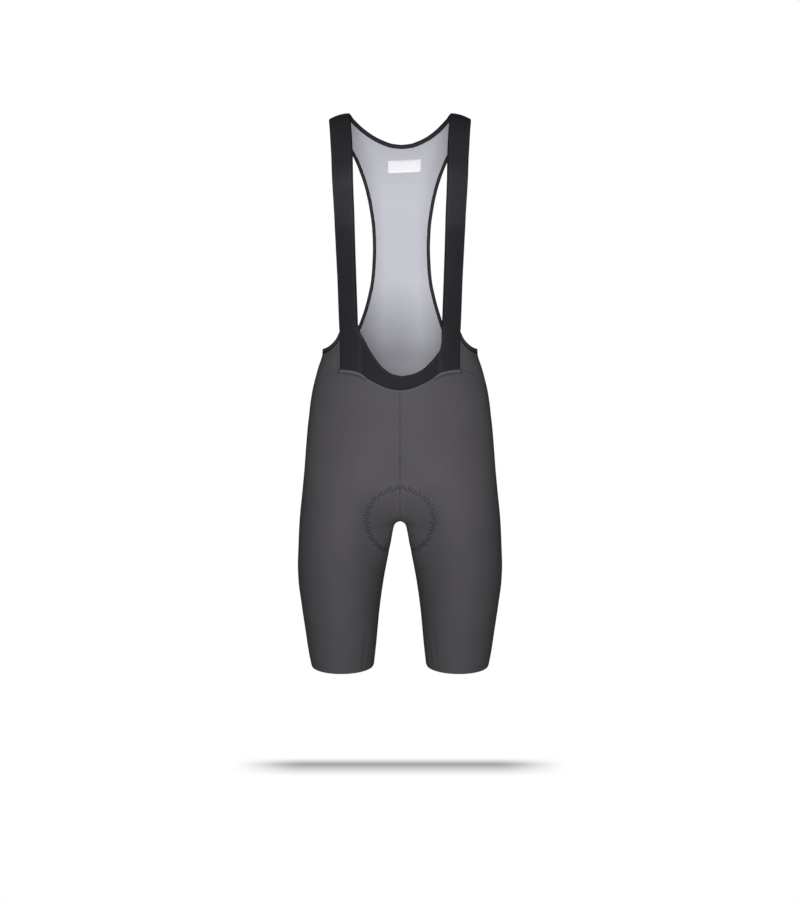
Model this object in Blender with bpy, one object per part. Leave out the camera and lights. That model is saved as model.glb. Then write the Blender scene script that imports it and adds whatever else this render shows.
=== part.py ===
"""Cycling bib shorts in their worn shape, hollow and open, as cut and sewn.

The pieces lie on one general figure.  A place on it is a pair (turn, down): turn is the angle in
degrees round the figure from centre front (0) past the wearer's left side (90) to centre back (180),
down is the length down its surface from the crest of the shoulder.  The front faces -Y, the wearer's
left is +X, and the origin lies midway between the undersides of the two straps on the shoulders.
"""
import math

import bmesh
import bpy
import numpy as np

MM = 0.001

# Cloth
LEG_WALL = 1.5 * MM
BAND_WALL = 2.0 * MM
STRAP_WALL = 2.0 * MM
SIDE_WALL = 1.4 * MM
MESH_WALL = 1.2 * MM
BINDING_WALL = 2.2 * MM
BINDING_PROUD = 0.4 * MM
PAD_WALL = 6.0 * MM
LABEL_WALL = 0.6 * MM
SEAM_GAP = 0.3 * MM
HORN_GAP = 1.5 * SEAM_GAP     # beside the band's outer edge, which leans across the rows
SEAM_GIRTH = 120.0 * MM       # radius at which a seam gap is turned into an angle

# Widths of the folded elastic that binds the edges
NECK_BINDING = 8.0 * MM
SIDE_BINDING = 8.0 * MM
BACK_BINDING = 5.0 * MM
NARROWING = (90.0, 140.0)     # turns between which the armhole's goes from one to the other

# The figure: height, half width, front depth, back depth (mm)
FIGURE = (
    (10.0, 190.0, 116.0, 112.0),
    (-60.0, 188.0, 118.0, 114.0),
    (-120.0, 180.0, 120.0, 117.0),
    (-200.0, 165.0, 120.0, 117.0),
    (-280.0, 150.0, 115.0, 108.0),
    (-340.0, 138.0, 108.0, 96.0),
    (-401.3, 134.2, 103.0, 88.0),
    (-436.1, 143.7, 102.0, 87.0),
    (-471.0, 152.6, 102.0, 91.0),
    (-506.0, 158.0, 103.0, 100.0),
    (-558.6, 163.5, 103.0, 115.0),
    (-611.4, 167.6, 99.0, 126.0),
    (-646.8, 171.1, 95.0, 129.0),
    (-703.5, 176.7, 90.0, 120.0),
    (-753.3, 178.9, 87.0, 106.0),
    (-806.9, 178.7, 83.0, 97.0),
    (-842.7, 174.7, 79.0, 91.0),
    (-896.6, 167.1, 72.0, 81.0),
    (-932.7, 162.0, 67.0, 74.0),
    (-958.0, 157.2, 64.0, 68.0),
)
CREST = 4.3 * MM              # top of the straps
SHOULDER_FROM = 85.7 * MM     # the shoulder falls away outside this half width
SHOULDER_FALL = 8.0           # metres of fall for each square metre of width
DOME = 150.0 * MM             # height over which the shoulder rounds into chest and back
DOME_DEPTH = 117.0 * MM

# Rise and legs
RISE_TOP = -560.0 * MM        # where the two legs start to part
CROTCH = -702.6 * MM
HEM = -958.0 * MM
PARTING_END = 0.8             # how fast the legs still part at the crotch
SADDLE = 20.0 * MM            # rounding of the cleft between the legs
# Inside of the leg: height, distance from the centre plane (mm)
INSIDE_LEG = (
    (-702.6, 0.0),
    (-705.0, 6.6),
    (-708.8, 10.4),
    (-717.7, 13.2),
    (-753.3, 20.3),
    (-806.9, 29.1),
    (-860.7, 34.4),
    (-914.6, 39.8),
    (-958.0, 46.1),
)

# Waist seam, where the upper pieces meet the legs: turn (degrees), height (mm)
WAIST_SEAM = (
    (0.0, -463.6),
    (3.1, -463.1),
    (8.1, -460.2),
    (14.8, -453.3),
    (22.6, -443.8),
    (26.5, -437.0),
    (30.3, -433.4),
    (38.0, -430.9),
    (46.4, -430.2),
    (58.0, -437.5),
    (70.0, -448.0),
    (77.0, -453.5),
    (90.0, -461.0),
    (110.0, -467.0),
    (130.0, -470.5),
    (180.0, -473.0),
)
HORN_ROW = 8                  # row of that table at the foot of the band's outer edge
# Edges of a strap: drop below the crest, inner and outer distance from the centre plane (mm)
STRAP_EDGES = (
    (0.0, 85.5, 121.4),
    (20.0, 82.2, 119.1),
    (50.0, 79.9, 117.0),
    (80.0, 78.5, 114.6),
    (135.0, 77.2, 111.8),
    (185.0, 75.9, 109.5),
    (235.0, 74.4, 106.8),
    (285.0, 73.3, 105.0),
    (335.0, 71.8, 103.9),
    (370.0, 70.8, 102.9),
)
STRAP_BEHIND = 15.0 * MM      # length of strap behind the crest
HORN_INNER = (70.8, -355.8)   # corners where the strap meets the band: across, height (mm)
HORN_OUTER = (102.9, -364.8)
HORN_FOOT = 103.0             # the band's outer edge on the waist seam, across (mm)
# Scoop of the band: height, distance from centre on the wearer's right, and on the left (mm)
SCOOP = (
    (-355.8, 70.8, 70.8),
    (-370.0, 65.4, 70.5),
    (-382.0, 58.0, 69.8),
    (-394.0, 51.1, 66.6),
    (-409.0, 40.9, 56.4),
    (-421.0, 30.6, 45.5),
    (-430.0, 20.6, 34.8),
    (-437.0, 10.1, 19.5),
)
SCOOP_BOTTOM = (3.0, -440.4)
# Armhole, outer edge of its binding, from the band round the side: turn (degrees), height (mm)
ARMHOLE_SIDE = (
    (49.6, -367.5),
    (53.0, -377.0),
    (57.8, -385.0),
    (64.5, -391.8),
    (74.0, -396.6),
    (90.0, -399.5),
    (104.0, -403.0),
    (115.0, -404.0),
)
# and up the back to the shoulder: across, height (mm)
ARMHOLE_BACK = (
    (106.2, -398.6),
    (88.8, -385.0),
    (78.3, -369.3),
    (71.3, -352.0),
    (60.7, -316.4),
    (54.1, -283.0),
    (51.1, -249.0),
    (50.2, -218.0),
    (51.0, -192.0),
    (55.1, -156.5),
    (61.6, -121.2),
    (72.8, -88.2),
    (83.1, -66.0),
    (96.0, -46.0),
    (109.0, -27.0),
)
TIP_OUTER = 120.0             # corners of the back panel under the strap's end, across (mm)
TIP_INNER = 84.6
# Neck, outer edge of its binding, from centre back to the shoulder: across, height (mm)
NECK = (
    (0.0, -43.2),
    (12.0, -42.2),
    (24.7, -38.8),
    (40.8, -32.3),
    (52.1, -25.8),
    (62.4, -18.6),
    (69.2, -12.9),
    (75.6, -6.9),
    (81.3, -1.3),
)
# Pad seen from the front: top, bottom, half width and height of the widest place (mm)
PAD_FRONT = (-642.0, -741.0, 50.0, -689.0)
PAD_BACK = (-578.0, -748.0, 98.0, -680.0)
PAD_CUTTER = 130.0 * MM       # distance in front and behind at which it has these outlines
PAD_REACH = (-570.0, -765.0, 110.0)   # part of the legs that it is cut from (mm)
PAD_CORNERS = 40
# Label inside the back: centre across and height, width, depth (mm), tilt (degrees)
LABEL = (8.0, -79.5, 58.0, 21.0, 2.6)

# How finely the walls are divided
FRONT_COLUMNS = 10            # leg columns under half the front band
REST_COLUMNS = 24             # leg columns from there to centre back
HIP_ROWS = 5
RISE_ROWS = 8
THIGH_ROWS = 12
THIGH_CROWDING = 1.5          # power that crowds the thigh's rows towards the crotch
HORN_STEPS = 5
BAND_ROWS = 4
ARMHOLE_STEPS = 42
SIDE_STEPS = 13               # steps of the armhole and of the waist that the side panel takes
NECK_STEPS = 8
SEAM_STEPS = 3
SIDE_ROWS = 3
STRAP_STEPS = 22
STRAP_COLUMNS = 3
LABEL_COLUMNS = 4
SAMPLES = 400                 # samples of a curve that is read backwards
SHARP_EDGE = 50.0             # degrees

COLOURS = {                   # sRGB, roughness
    "lycra": ((0.33, 0.325, 0.335), 0.62),
    "band": ((0.15, 0.15, 0.155), 0.75),
    "strap": ((0.17, 0.17, 0.175), 0.7),
    "side": ((0.25, 0.245, 0.25), 0.8),
    "mesh": ((0.76, 0.76, 0.79), 0.8),
    "binding": ((0.16, 0.16, 0.165), 0.65),
    "pad": ((0.12, 0.12, 0.13), 0.85),
    "label": ((0.92, 0.92, 0.92), 0.6),
}


def smooth(rows, column, at):
    """Value of one column of a table at each place of its first column, without overshoot."""
    table = np.array(rows, dtype=float)
    table = table[np.argsort(table[:, 0])]
    xs = table[:, 0]
    ys = table[:, column]
    step = np.diff(xs)
    rise = np.diff(ys) / step
    slope = np.zeros_like(ys)
    slope[0] = rise[0]
    slope[-1] = rise[-1]
    for i in range(1, len(xs) - 1):
        if rise[i - 1] * rise[i] > 0.0:
            slope[i] = 2.0 * rise[i - 1] * rise[i] / (rise[i - 1] + rise[i])
    at = np.clip(np.asarray(at, dtype=float), xs[0], xs[-1])
    k = np.clip(np.searchsorted(xs, at, side="right") - 1, 0, len(xs) - 2)
    t = (at - xs[k]) / step[k]
    return ((2 * t**3 - 3 * t**2 + 1) * ys[k] + (t**3 - 2 * t**2 + t) * step[k] * slope[k]
            + (3 * t**2 - 2 * t**3) * ys[k + 1] + (t**3 - t**2) * step[k] * slope[k + 1])


def figure(height):
    """Half width, front depth and back depth of the figure at a height."""
    return [float(smooth(FIGURE, column, height / MM)) * MM for column in (1, 2, 3)]


def shoulder_fall(across, drop):
    """How far the shoulder has fallen away at this distance from the centre plane."""
    outside = max(abs(across) - SHOULDER_FROM, 0.0)
    return SHOULDER_FALL * outside**2 * max(1.0 - drop / DOME, 0.0)


DOME_ANGLES = np.linspace(0.0, math.pi / 2, SAMPLES)
DOME_DROPS = DOME * (1.0 - np.cos(DOME_ANGLES))
DOME_LENGTHS = np.concatenate(([0.0], np.cumsum(np.hypot(
    np.diff(DOME_DROPS), np.diff(DOME_DEPTH * np.sin(DOME_ANGLES))))))


def drop_of(down):
    """Drop below the crest of a place this far down the surface."""
    if down < DOME_LENGTHS[-1]:
        return float(np.interp(down, DOME_LENGTHS, DOME_DROPS))
    return DOME + down - DOME_LENGTHS[-1]


def down_of(drop):
    """Length down the surface to a place with this drop."""
    if drop < DOME:
        return float(np.interp(drop, DOME_DROPS, DOME_LENGTHS))
    return DOME_LENGTHS[-1] + drop - DOME


def body(turn, down):
    """Point of the figure's surface."""
    drop = drop_of(down)
    width, front, back = figure(CREST - drop)
    angle = math.radians(turn)
    across = width * math.sin(angle)
    depth = front if abs(turn) < 90.0 else back
    dome = math.sqrt(max(1.0 - max(1.0 - drop / DOME, 0.0) ** 2, 0.0))
    height = CREST - drop - shoulder_fall(across, drop)
    return np.array((across, -depth * math.cos(angle) * dome, height))


def spot(across, height, back=False):
    """The (turn, down) of a point given by its distance across and its height, both in mm."""
    across *= MM
    drop = CREST - height * MM
    for _ in range(20):
        drop = max(CREST - height * MM - shoulder_fall(across, drop), 0.0)
    turn = math.degrees(math.asin(across / figure(CREST - drop)[0]))
    return np.array((180.0 - turn if back else turn, down_of(drop)))


def level(turn, height):
    """The (turn, down) of a point below the shoulders given by its turn and its height in mm."""
    return np.array((turn, down_of(CREST - height * MM)))


def tangents(place):
    """Change of the surface point for a degree of turn and for a metre of down."""
    turn, down = place
    small_turn = 0.05
    small_down = 0.1 * MM
    along = (body(turn + small_turn, down) - body(turn - small_turn, down)) / (2 * small_turn)
    below = (body(turn, down + small_down) - body(turn, max(down - small_down, 0.0)))
    return along, below / (small_down + min(small_down, down))


def inset(curve, distances):
    """Move a curve of (turn, down) places in the surface, to its left seen from outside."""
    curve = np.array(curve)
    distances = np.broadcast_to(distances, len(curve))
    points = np.array([body(*place) for place in curve])
    forward = np.gradient(points, axis=0)
    moved = []
    for place, ahead, distance in zip(curve, forward, distances):
        along, below = tangents(place)
        normal = np.cross(below, along)
        side = np.cross(normal, ahead)
        side *= distance / np.linalg.norm(side)
        change = np.linalg.lstsq(np.column_stack((along, below)), side, rcond=None)[0]
        moved.append(place + change)
    return np.array(moved)


def through(places, steps):
    """Even steps along a smooth curve through (turn, down) places."""
    places = np.array(places)
    points = np.array([body(*place) for place in places])
    lengths = np.concatenate(([0.0], np.cumsum(np.linalg.norm(np.diff(points, axis=0), axis=1))))
    at = np.linspace(0.0, lengths[-1], steps + 1)
    columns = [smooth(np.column_stack((lengths, places[:, c])), 1, at) for c in (0, 1)]
    return np.column_stack(columns)


def between(start, end, steps):
    """Even steps along a straight line of places."""
    shares = np.linspace(0.0, 1.0, steps + 1)[:, None]
    return (1.0 - shares) * np.array(start) + shares * np.array(end)


def along_polyline(curve, turns):
    """Places on a polyline of places at given turns."""
    curve = np.array(curve)
    order = np.argsort(curve[:, 0])
    downs = np.interp(turns, curve[order, 0], curve[order, 1])
    return np.column_stack((turns, downs))


def ribbon(lower, upper, rows):
    """Grid of places with straight rungs from one edge to the other."""
    shares = np.linspace(0.0, 1.0, rows + 1)
    return np.array([(1.0 - s) * np.array(lower) + s * np.array(upper) for s in shares])


def normal_at(place):
    """Outward direction of the figure's surface at a place."""
    along, below = tangents(place)
    normal = np.cross(below, along)
    return normal / np.linalg.norm(normal)


def on_body(grid):
    """Surface points and outward directions of a grid of places."""
    points = [[body(*place) for place in row] for row in grid]
    normals = [[normal_at(place) for place in row] for row in grid]
    return np.array(points), np.array(normals)


def grid_faces(rows, columns):
    """Triangles of a grid of vertices numbered row by row, all cut along the same diagonal."""
    faces = []
    for i in range(rows - 1):
        for j in range(columns - 1):
            a = i * columns + j
            faces.append((a, a + 1, a + columns + 1))
            faces.append((a, a + columns + 1, a + columns))
    return faces


def mirrored(points):
    """The same points on the wearer's other side."""
    return np.array(points) * np.array((-1.0, 1.0, 1.0))


def material(finish):
    """The Principled material of a finish, made once."""
    found = bpy.data.materials.get(finish)
    if found:
        return found
    colour, roughness = COLOURS[finish]
    made = bpy.data.materials.new(finish)
    made.use_nodes = True
    shader = made.node_tree.nodes["Principled BSDF"]
    linear = [((c + 0.055) / 1.055) ** 2.4 for c in colour]
    shader.inputs["Base Color"].default_value = (*linear, 1.0)
    shader.inputs["Roughness"].default_value = roughness
    return made


def welded(points, normals, faces):
    """Join the points that lie in one place."""
    index = {}
    kept = []
    kept_normals = []
    renumbered = []
    for point, normal in zip(points, normals):
        key = tuple(int(round(value / (0.001 * MM))) for value in point)
        if key not in index:
            index[key] = len(kept)
            kept.append(point)
            kept_normals.append(normal)
        renumbered.append(index[key])
    faces = [tuple(renumbered[i] for i in face) for face in faces]
    return np.array(kept), np.array(kept_normals), faces


def walled(points, normals, faces, wall, proud):
    """Points and faces of a closed wall under an open surface, square to the surface all round."""
    corner = points[list(faces[0])]
    if np.dot(np.cross(corner[1] - corner[0], corner[2] - corner[0]), normals[faces[0][0]]) < 0.0:
        faces = [face[::-1] for face in faces]
    count = len(points)
    both = np.concatenate((points + normals * proud, points + normals * (proud - wall)))
    edges = [(face[i - 1], face[i]) for face in faces for i in range(len(face))]
    twins = {(b, a) for a, b in edges}
    rim = [(b, a, a + count, b + count) for a, b in edges if (a, b) not in twins]
    inside = [tuple(i + count for i in face[::-1]) for face in faces]
    return both, list(faces) + inside + rim


def cloth(name, finish, points, normals, faces, wall, proud=0.0, halves=False):
    """A closed wall of cloth whose outer face is the given open surface, moved out by proud.

    The wall is square to the figure along its edges, so neighbours stay parallel at a seam.
    """
    points = np.reshape(points, (-1, 3))
    normals = np.reshape(normals, (-1, 3))
    if halves:
        faces = list(faces) + [tuple(i + len(points) for i in face[::-1]) for face in faces]
        points = np.concatenate((points, mirrored(points)))
        normals = np.concatenate((normals, mirrored(normals)))
    points, normals, faces = welded(points, normals, faces)
    points, faces = walled(points, normals, faces, wall, proud)
    mesh = bpy.data.meshes.new(name)
    mesh.from_pydata([tuple(point) for point in points], [], faces)
    mesh.shade_smooth()
    mesh.set_sharp_from_angle(angle=math.radians(SHARP_EDGE))
    mesh.materials.append(material(finish))
    piece = bpy.data.objects.new(name, mesh)
    garment.objects.link(piece)
    return piece


def sheet(name, finish, grid, wall, proud=0.0, side=1):
    """A cloth wall on a grid of places; side -1 puts it on the wearer's right."""
    points, normals = on_body(grid)
    rows, columns = points.shape[:2]
    if side < 0:
        points = mirrored(points)
        normals = mirrored(normals)
    return cloth(name, finish, points, normals, grid_faces(rows, columns), wall, proud)


def eased(share, end_slope=0.0):
    """A rise from 0 to 1 that starts level and ends with the given slope."""
    return share**2 * (3.0 - end_slope - (2.0 - end_slope) * share)


def leg_ring(height):
    """Centre, half width, rounding and first angle of a leg's ring, with its depths."""
    width, front, back = figure(height)
    if height >= CROTCH:
        rise = min(max((RISE_TOP - height) / (RISE_TOP - CROTCH), 0.0), 1.0)
        parted = min(eased(rise, PARTING_END), 1.0)
        rounding = SADDLE * eased(rise)
        outer = math.hypot(width, rounding)
        half = (outer - rounding) / (1.0 + parted)
        return rounding + parted * half, half, rounding, -math.asin(parted), front, back
    inner = math.hypot(float(smooth(INSIDE_LEG, 1, height / MM)) * MM, SADDLE)
    outer = math.hypot(width, SADDLE)
    return (outer + inner) / 2, (outer - inner) / 2, SADDLE, -math.pi / 2, front, back


def leg(share, height):
    """Point of the left leg: share runs round its ring from centre front to centre back."""
    centre, half, rounding, first, front, back = leg_ring(height)
    angle = first + share * (math.pi - 2 * first)
    across = centre + half * math.sin(angle)
    depth = front if math.cos(angle) > 0.0 else back
    return np.array((math.sqrt(max(across**2 - rounding**2, 0.0)), -depth * math.cos(angle), height))


def leg_normal(point):
    """Outward direction of the left leg's surface at one of its points."""

    def outside(x, y, z):
        centre, half, rounding, _, front, back = leg_ring(z)
        return ((math.hypot(x, rounding) - centre) / half) ** 2 + (y / (back if y > 0.0 else front)) ** 2

    small = 0.05 * MM
    x, y, z = point
    z = min(max(z, HEM + small), -small)
    normal = np.array((
        outside(x + small, y, z) - outside(x - small, y, z),
        outside(x, y + small, z) - outside(x, y - small, z),
        outside(x, y, z + small) - outside(x, y, z - small)))
    return normal / np.linalg.norm(normal)


def waist_turns():
    """Turns of the leg's columns at the waist seam."""
    horn = WAIST_SEAM[HORN_ROW][0]
    front = np.linspace(0.0, horn, FRONT_COLUMNS + 1)
    rest = np.linspace(horn, 180.0, REST_COLUMNS + 1)
    return np.concatenate((front, rest[1:]))


def waist_edge(offset):
    """The waist seam's places, moved up by offset."""
    turns = waist_turns()
    heights = smooth(WAIST_SEAM, 1, turns)
    curve = np.array([level(turn, height) for turn, height in zip(turns, heights)])
    moved = inset(curve, offset)
    moved[:, 0] = turns
    return moved


def leg_rows():
    """Rows of the left leg's points from the waist seam to the hem, and its columns' shares."""
    shares = waist_turns() / 180.0
    tops = [CREST - drop_of(down) for _, down in waist_edge(-SEAM_GAP / 2)]
    rows = []
    for k in range(HIP_ROWS):
        part = k / HIP_ROWS
        heights = [(1 - part) * top + part * RISE_TOP for top in tops]
        rows.append([leg(share, height) for share, height in zip(shares, heights)])
    rises = np.linspace(0.0, 1.0, SAMPLES)
    partings = eased(rises, PARTING_END)
    for k in range(RISE_ROWS):
        rise = float(np.interp(math.sin(0.5 * math.pi * k / RISE_ROWS), partings, rises))
        height = RISE_TOP + rise * (CROTCH - RISE_TOP)
        rows.append([leg(share, height) for share in shares])
    rows.append([leg(share, CROTCH - 1e-9) for share in shares])
    for k in range(1, THIGH_ROWS + 1):
        height = CROTCH + (HEM - CROTCH) * (k / THIGH_ROWS) ** THIGH_CROWDING
        rows.append([leg(share, height) for share in shares])
    return rows, shares


def build_leg(name, side):
    """One leg: from centre front round to centre back, a closed tube below the crotch."""
    rows, shares = leg_rows()
    points = np.array(rows).reshape(-1, 3)
    normals = np.array([leg_normal(point) for point in points])
    points[:, 0] += SEAM_GAP / 2
    if side < 0:
        points = mirrored(points)
        normals = mirrored(normals)
    faces = grid_faces(len(rows), len(shares))
    return cloth(name, "lycra", points, normals, faces, LEG_WALL)


def build_straps():
    """Two straps from behind the crest down the chest to the band's horns."""
    inner_end = spot(*HORN_INNER)
    outer_end = spot(*HORN_OUTER)
    inner = []
    outer = []
    for part in np.linspace(0.0, 1.0, STRAP_STEPS + 1):
        edges = []
        for end, column in ((inner_end, 1), (outer_end, 2)):
            down = -STRAP_BEHIND + part * (end[1] - SEAM_GAP / 2 + STRAP_BEHIND)
            drop = drop_of(abs(down))
            across = float(smooth(STRAP_EDGES, column, drop / MM)) * MM
            turn = math.degrees(math.asin(across / figure(CREST - drop)[0]))
            edges.append((180.0 - turn if down < 0.0 else turn, abs(down)))
        inner.append(edges[0])
        outer.append(edges[1])
    for name, side in (("strap_left", 1), ("strap_right", -1)):
        columns = []
        for share in np.linspace(0.0, 1.0, STRAP_COLUMNS + 1):
            columns.append([(1 - share) * np.array(a) + share * np.array(b)
                            for a, b in zip(inner, outer)])
        sheet(name, "strap", np.array(columns), STRAP_WALL, side=side)


def build_band():
    """The scooped front band with its two horns, in one piece.

    Its rungs run from the scoop to the outside of the horns and the waist seam.
    """
    waist = waist_edge(SEAM_GAP / 2)[:FRONT_COLUMNS + 1]
    scoops = []
    outsides = []
    for column, sign in ((1, -1.0), (2, 1.0)):
        places = [spot(sign * row[column], row[0]) for row in SCOOP]
        places.append(spot(*SCOOP_BOTTOM))
        scoops.append(through(places, FRONT_COLUMNS + HORN_STEPS))
        foot = waist[::-1] * np.array((sign, 1.0))
        corner = spot(sign * HORN_OUTER[0], HORN_OUTER[1])
        outsides.append(np.concatenate((between(corner, foot[0], HORN_STEPS), foot[1:])))
    scoop = np.concatenate((scoops[0], scoops[1][::-1][1:]))
    outside = np.concatenate((outsides[0], outsides[1][::-1][1:]))
    for end in (0, -1):
        scoop[end, 1] += SEAM_GAP / 2
        outside[end, 1] += SEAM_GAP / 2
    sheet("front_band", "band", ribbon(outside, scoop, BAND_ROWS), BAND_WALL)


def armhole():
    """Outer edge of the left armhole's binding and the binding's width, from band to shoulder."""
    places = [level(turn, height) for turn, height in ARMHOLE_SIDE]
    places += [spot(across, height, back=True) for across, height in ARMHOLE_BACK]
    tip = math.degrees(math.asin(TIP_OUTER * MM / figure(CREST)[0]))
    places.append(np.array((180.0 - tip, STRAP_BEHIND + SEAM_GAP)))
    outer = through(places, ARMHOLE_STEPS)
    turns = outer[:, 0]
    widths = np.interp(turns, NARROWING, (SIDE_BINDING, BACK_BINDING))
    return outer, widths


def trimmed(curve, first_turn, last_down):
    """Bring a curve's first place to a turn and its last to a length down."""
    curve = np.array(curve)
    slope = (curve[1, 1] - curve[0, 1]) / (curve[1, 0] - curve[0, 0])
    curve[0] = (first_turn, curve[0, 1] + slope * (first_turn - curve[0, 0]))
    lean = (curve[-1, 0] - curve[-2, 0]) / (curve[-1, 1] - curve[-2, 1])
    curve[-1] = (curve[-1, 0] + lean * (last_down - curve[-1, 1]), last_down)
    return curve


def horn_line(height, gap):
    """Turn of the band's outer edge at a height, with a seam gap beside it."""
    part = (height - HORN_OUTER[1]) / (WAIST_SEAM[HORN_ROW][1] - HORN_OUTER[1])
    across = (1 - part) * HORN_OUTER[0] + part * HORN_FOOT
    return spot(across, height)[0] + math.degrees(gap / SEAM_GIRTH)


def build_sides_and_armholes():
    """Side panels and armhole bindings; returns the back panel's edge."""
    outer, widths = armhole()
    inner = inset(outer, -widths)
    edge = inset(outer, -(widths + SEAM_GAP))
    tip_down = STRAP_BEHIND + SEAM_GAP
    first = [horn_line((CREST - drop_of(curve[0, 1])) / MM, HORN_GAP) for curve in (outer, inner, edge)]
    outer = trimmed(outer, first[0], tip_down)
    inner = trimmed(inner, first[1], tip_down)
    edge = trimmed(edge, first[2], tip_down)
    half_gap = math.degrees(SEAM_GAP / 2 / SEAM_GIRTH)
    top = edge[:SIDE_STEPS + 1].copy()
    top[-1, 0] -= half_gap
    waist = waist_edge(SEAM_GAP / 2)[FRONT_COLUMNS:FRONT_COLUMNS + SIDE_STEPS + 1]
    turns = waist[:, 0].copy()
    turns[0] += math.degrees(HORN_GAP / SEAM_GIRTH)
    turns[-1] -= half_gap
    grid = ribbon(along_polyline(waist, turns), top, SIDE_ROWS)
    for name, side in (("side_panel_left", 1), ("side_panel_right", -1)):
        sheet(name, "side", grid, SIDE_WALL, side=side)
    strip = ribbon(inner, outer, 1)
    for name, side in (("armhole_binding_left", 1), ("armhole_binding_right", -1)):
        sheet(name, "binding", strip, BINDING_WALL, BINDING_PROUD, side=side)
    rest = edge[SIDE_STEPS:].copy()
    rest[0, 0] += half_gap
    return rest


def build_back(edge):
    """The mesh back panel, from the waist seam up to the two shoulder tips, and the neck binding."""
    places = [spot(across, height, back=True) for across, height in NECK]
    tip_down = STRAP_BEHIND + SEAM_GAP
    corner = math.degrees(math.asin(TIP_INNER * MM / figure(CREST)[0]))
    places.append(np.array((180.0 - corner, tip_down)))
    outer = through(places, NECK_STEPS)
    inner = inset(outer, NECK_BINDING)
    hem = inset(outer, NECK_BINDING + SEAM_GAP)
    for curve in (inner, hem):
        curve[0, 0] = 180.0
        lean = (curve[-1, 0] - curve[-2, 0]) / (curve[-1, 1] - curve[-2, 1])
        curve[-1] = (curve[-1, 0] + lean * (tip_down - curve[-1, 1]), tip_down)
    points, normals = on_body(ribbon(inner, outer, 1))
    points[:, 0, 0] = 0.0
    normals[:, 0, 0] = 0.0
    cloth("neck_binding", "binding", points, normals, grid_faces(*points.shape[:2]),
          BINDING_WALL, BINDING_PROUD, halves=True)
    feet = waist_edge(SEAM_GAP / 2)[FRONT_COLUMNS + SIDE_STEPS:][::-1]
    feet[-1, 0] += math.degrees(SEAM_GAP / 2 / SEAM_GIRTH)
    side = np.concatenate((between(feet[-1], edge[0], SEAM_STEPS)[:-1], edge))
    middle_steps = len(side) - 1 - NECK_STEPS
    middle = np.concatenate((between(feet[0], hem[0], middle_steps)[:-1], hem))
    grid = ribbon(middle, side, len(feet) - 1)
    grid[:, 0] = feet
    points, normals = on_body(grid)
    points[0, :middle_steps + 1, 0] = 0.0
    normals[0, :middle_steps + 1, 0] = 0.0
    cloth("back_panel", "mesh", points, normals, grid_faces(*points.shape[:2]),
          MESH_WALL, halves=True)


def pad_outline(y):
    """Outline of the pad seen from the front, at one end of its cutter."""
    top, bottom, wide, middle = PAD_FRONT if y < 0.0 else PAD_BACK
    outline = []
    for k in range(PAD_CORNERS):
        angle = 2 * math.pi * k / PAD_CORNERS
        reach = top - middle if math.sin(angle) > 0.0 else middle - bottom
        outline.append((wide * MM * math.cos(angle), y, (middle + reach * math.sin(angle)) * MM))
    return outline


def build_pad():
    """The seat pad, astride the crotch: cut from the legs' own points moved in."""
    rows, shares = leg_rows()
    rows = [row for row in rows if PAD_REACH[1] * MM <= row[0][2] <= PAD_REACH[0] * MM]
    points = np.array(rows).reshape(-1, 3)
    normals = np.array([leg_normal(point) for point in points])
    faces = [face for face in grid_faces(len(rows), len(shares))
             if min(points[i][0] for i in face) < PAD_REACH[2] * MM]
    pad = cloth("chamois_pad", "pad", points, normals, faces, PAD_WALL, -(LEG_WALL + SEAM_GAP),
                halves=True)
    corners = pad_outline(-PAD_CUTTER) + pad_outline(PAD_CUTTER)
    n = PAD_CORNERS
    sides = [(k, (k + 1) % n, (k + 1) % n + n, k + n) for k in range(n)]
    mesh = bpy.data.meshes.new("pad_cutter")
    mesh.from_pydata(corners, [], sides + [tuple(range(n))[::-1], tuple(range(n, 2 * n))])
    shape = bmesh.new()
    shape.from_mesh(mesh)
    bmesh.ops.recalc_face_normals(shape, faces=shape.faces)
    shape.to_mesh(mesh)
    shape.free()
    cutter = bpy.data.objects.new("pad_cutter", mesh)
    cutter.hide_render = True
    cutter.display_type = "WIRE"
    cutters.objects.link(cutter)
    trim = pad.modifiers.new("outline", "BOOLEAN")
    trim.operation = "INTERSECT"
    trim.object = cutter


def build_label():
    """The blank label inside the back, below the neck."""
    across, height, width, depth, tilt = LABEL
    lean = math.tan(math.radians(tilt))
    rows = []
    for down in (0.5, -0.5):
        row = []
        for share in np.linspace(-0.5, 0.5, LABEL_COLUMNS + 1):
            along = across + share * width
            row.append(spot(along, height - down * depth + share * width * lean, back=True))
        rows.append(row)
    sheet("neck_label", "label", np.array(rows), LABEL_WALL, -(MESH_WALL + SEAM_GAP))


for old in list(bpy.data.objects):
    bpy.data.objects.remove(old)
garment = bpy.data.collections.new("cycling_bib_shorts")
bpy.context.scene.collection.children.link(garment)
cutters = bpy.data.collections.new("cutters")
bpy.context.scene.collection.children.link(cutters)
build_leg("leg_left", 1)
build_leg("leg_right", -1)
build_straps()
build_band()
build_back(build_sides_and_armholes())
build_pad()
build_label()
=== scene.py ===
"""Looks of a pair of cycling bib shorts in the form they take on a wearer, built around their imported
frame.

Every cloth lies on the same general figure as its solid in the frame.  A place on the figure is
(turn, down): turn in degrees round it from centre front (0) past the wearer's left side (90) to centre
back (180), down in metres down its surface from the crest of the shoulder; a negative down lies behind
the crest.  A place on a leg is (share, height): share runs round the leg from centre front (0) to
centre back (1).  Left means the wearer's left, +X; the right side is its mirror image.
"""
import math

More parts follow.
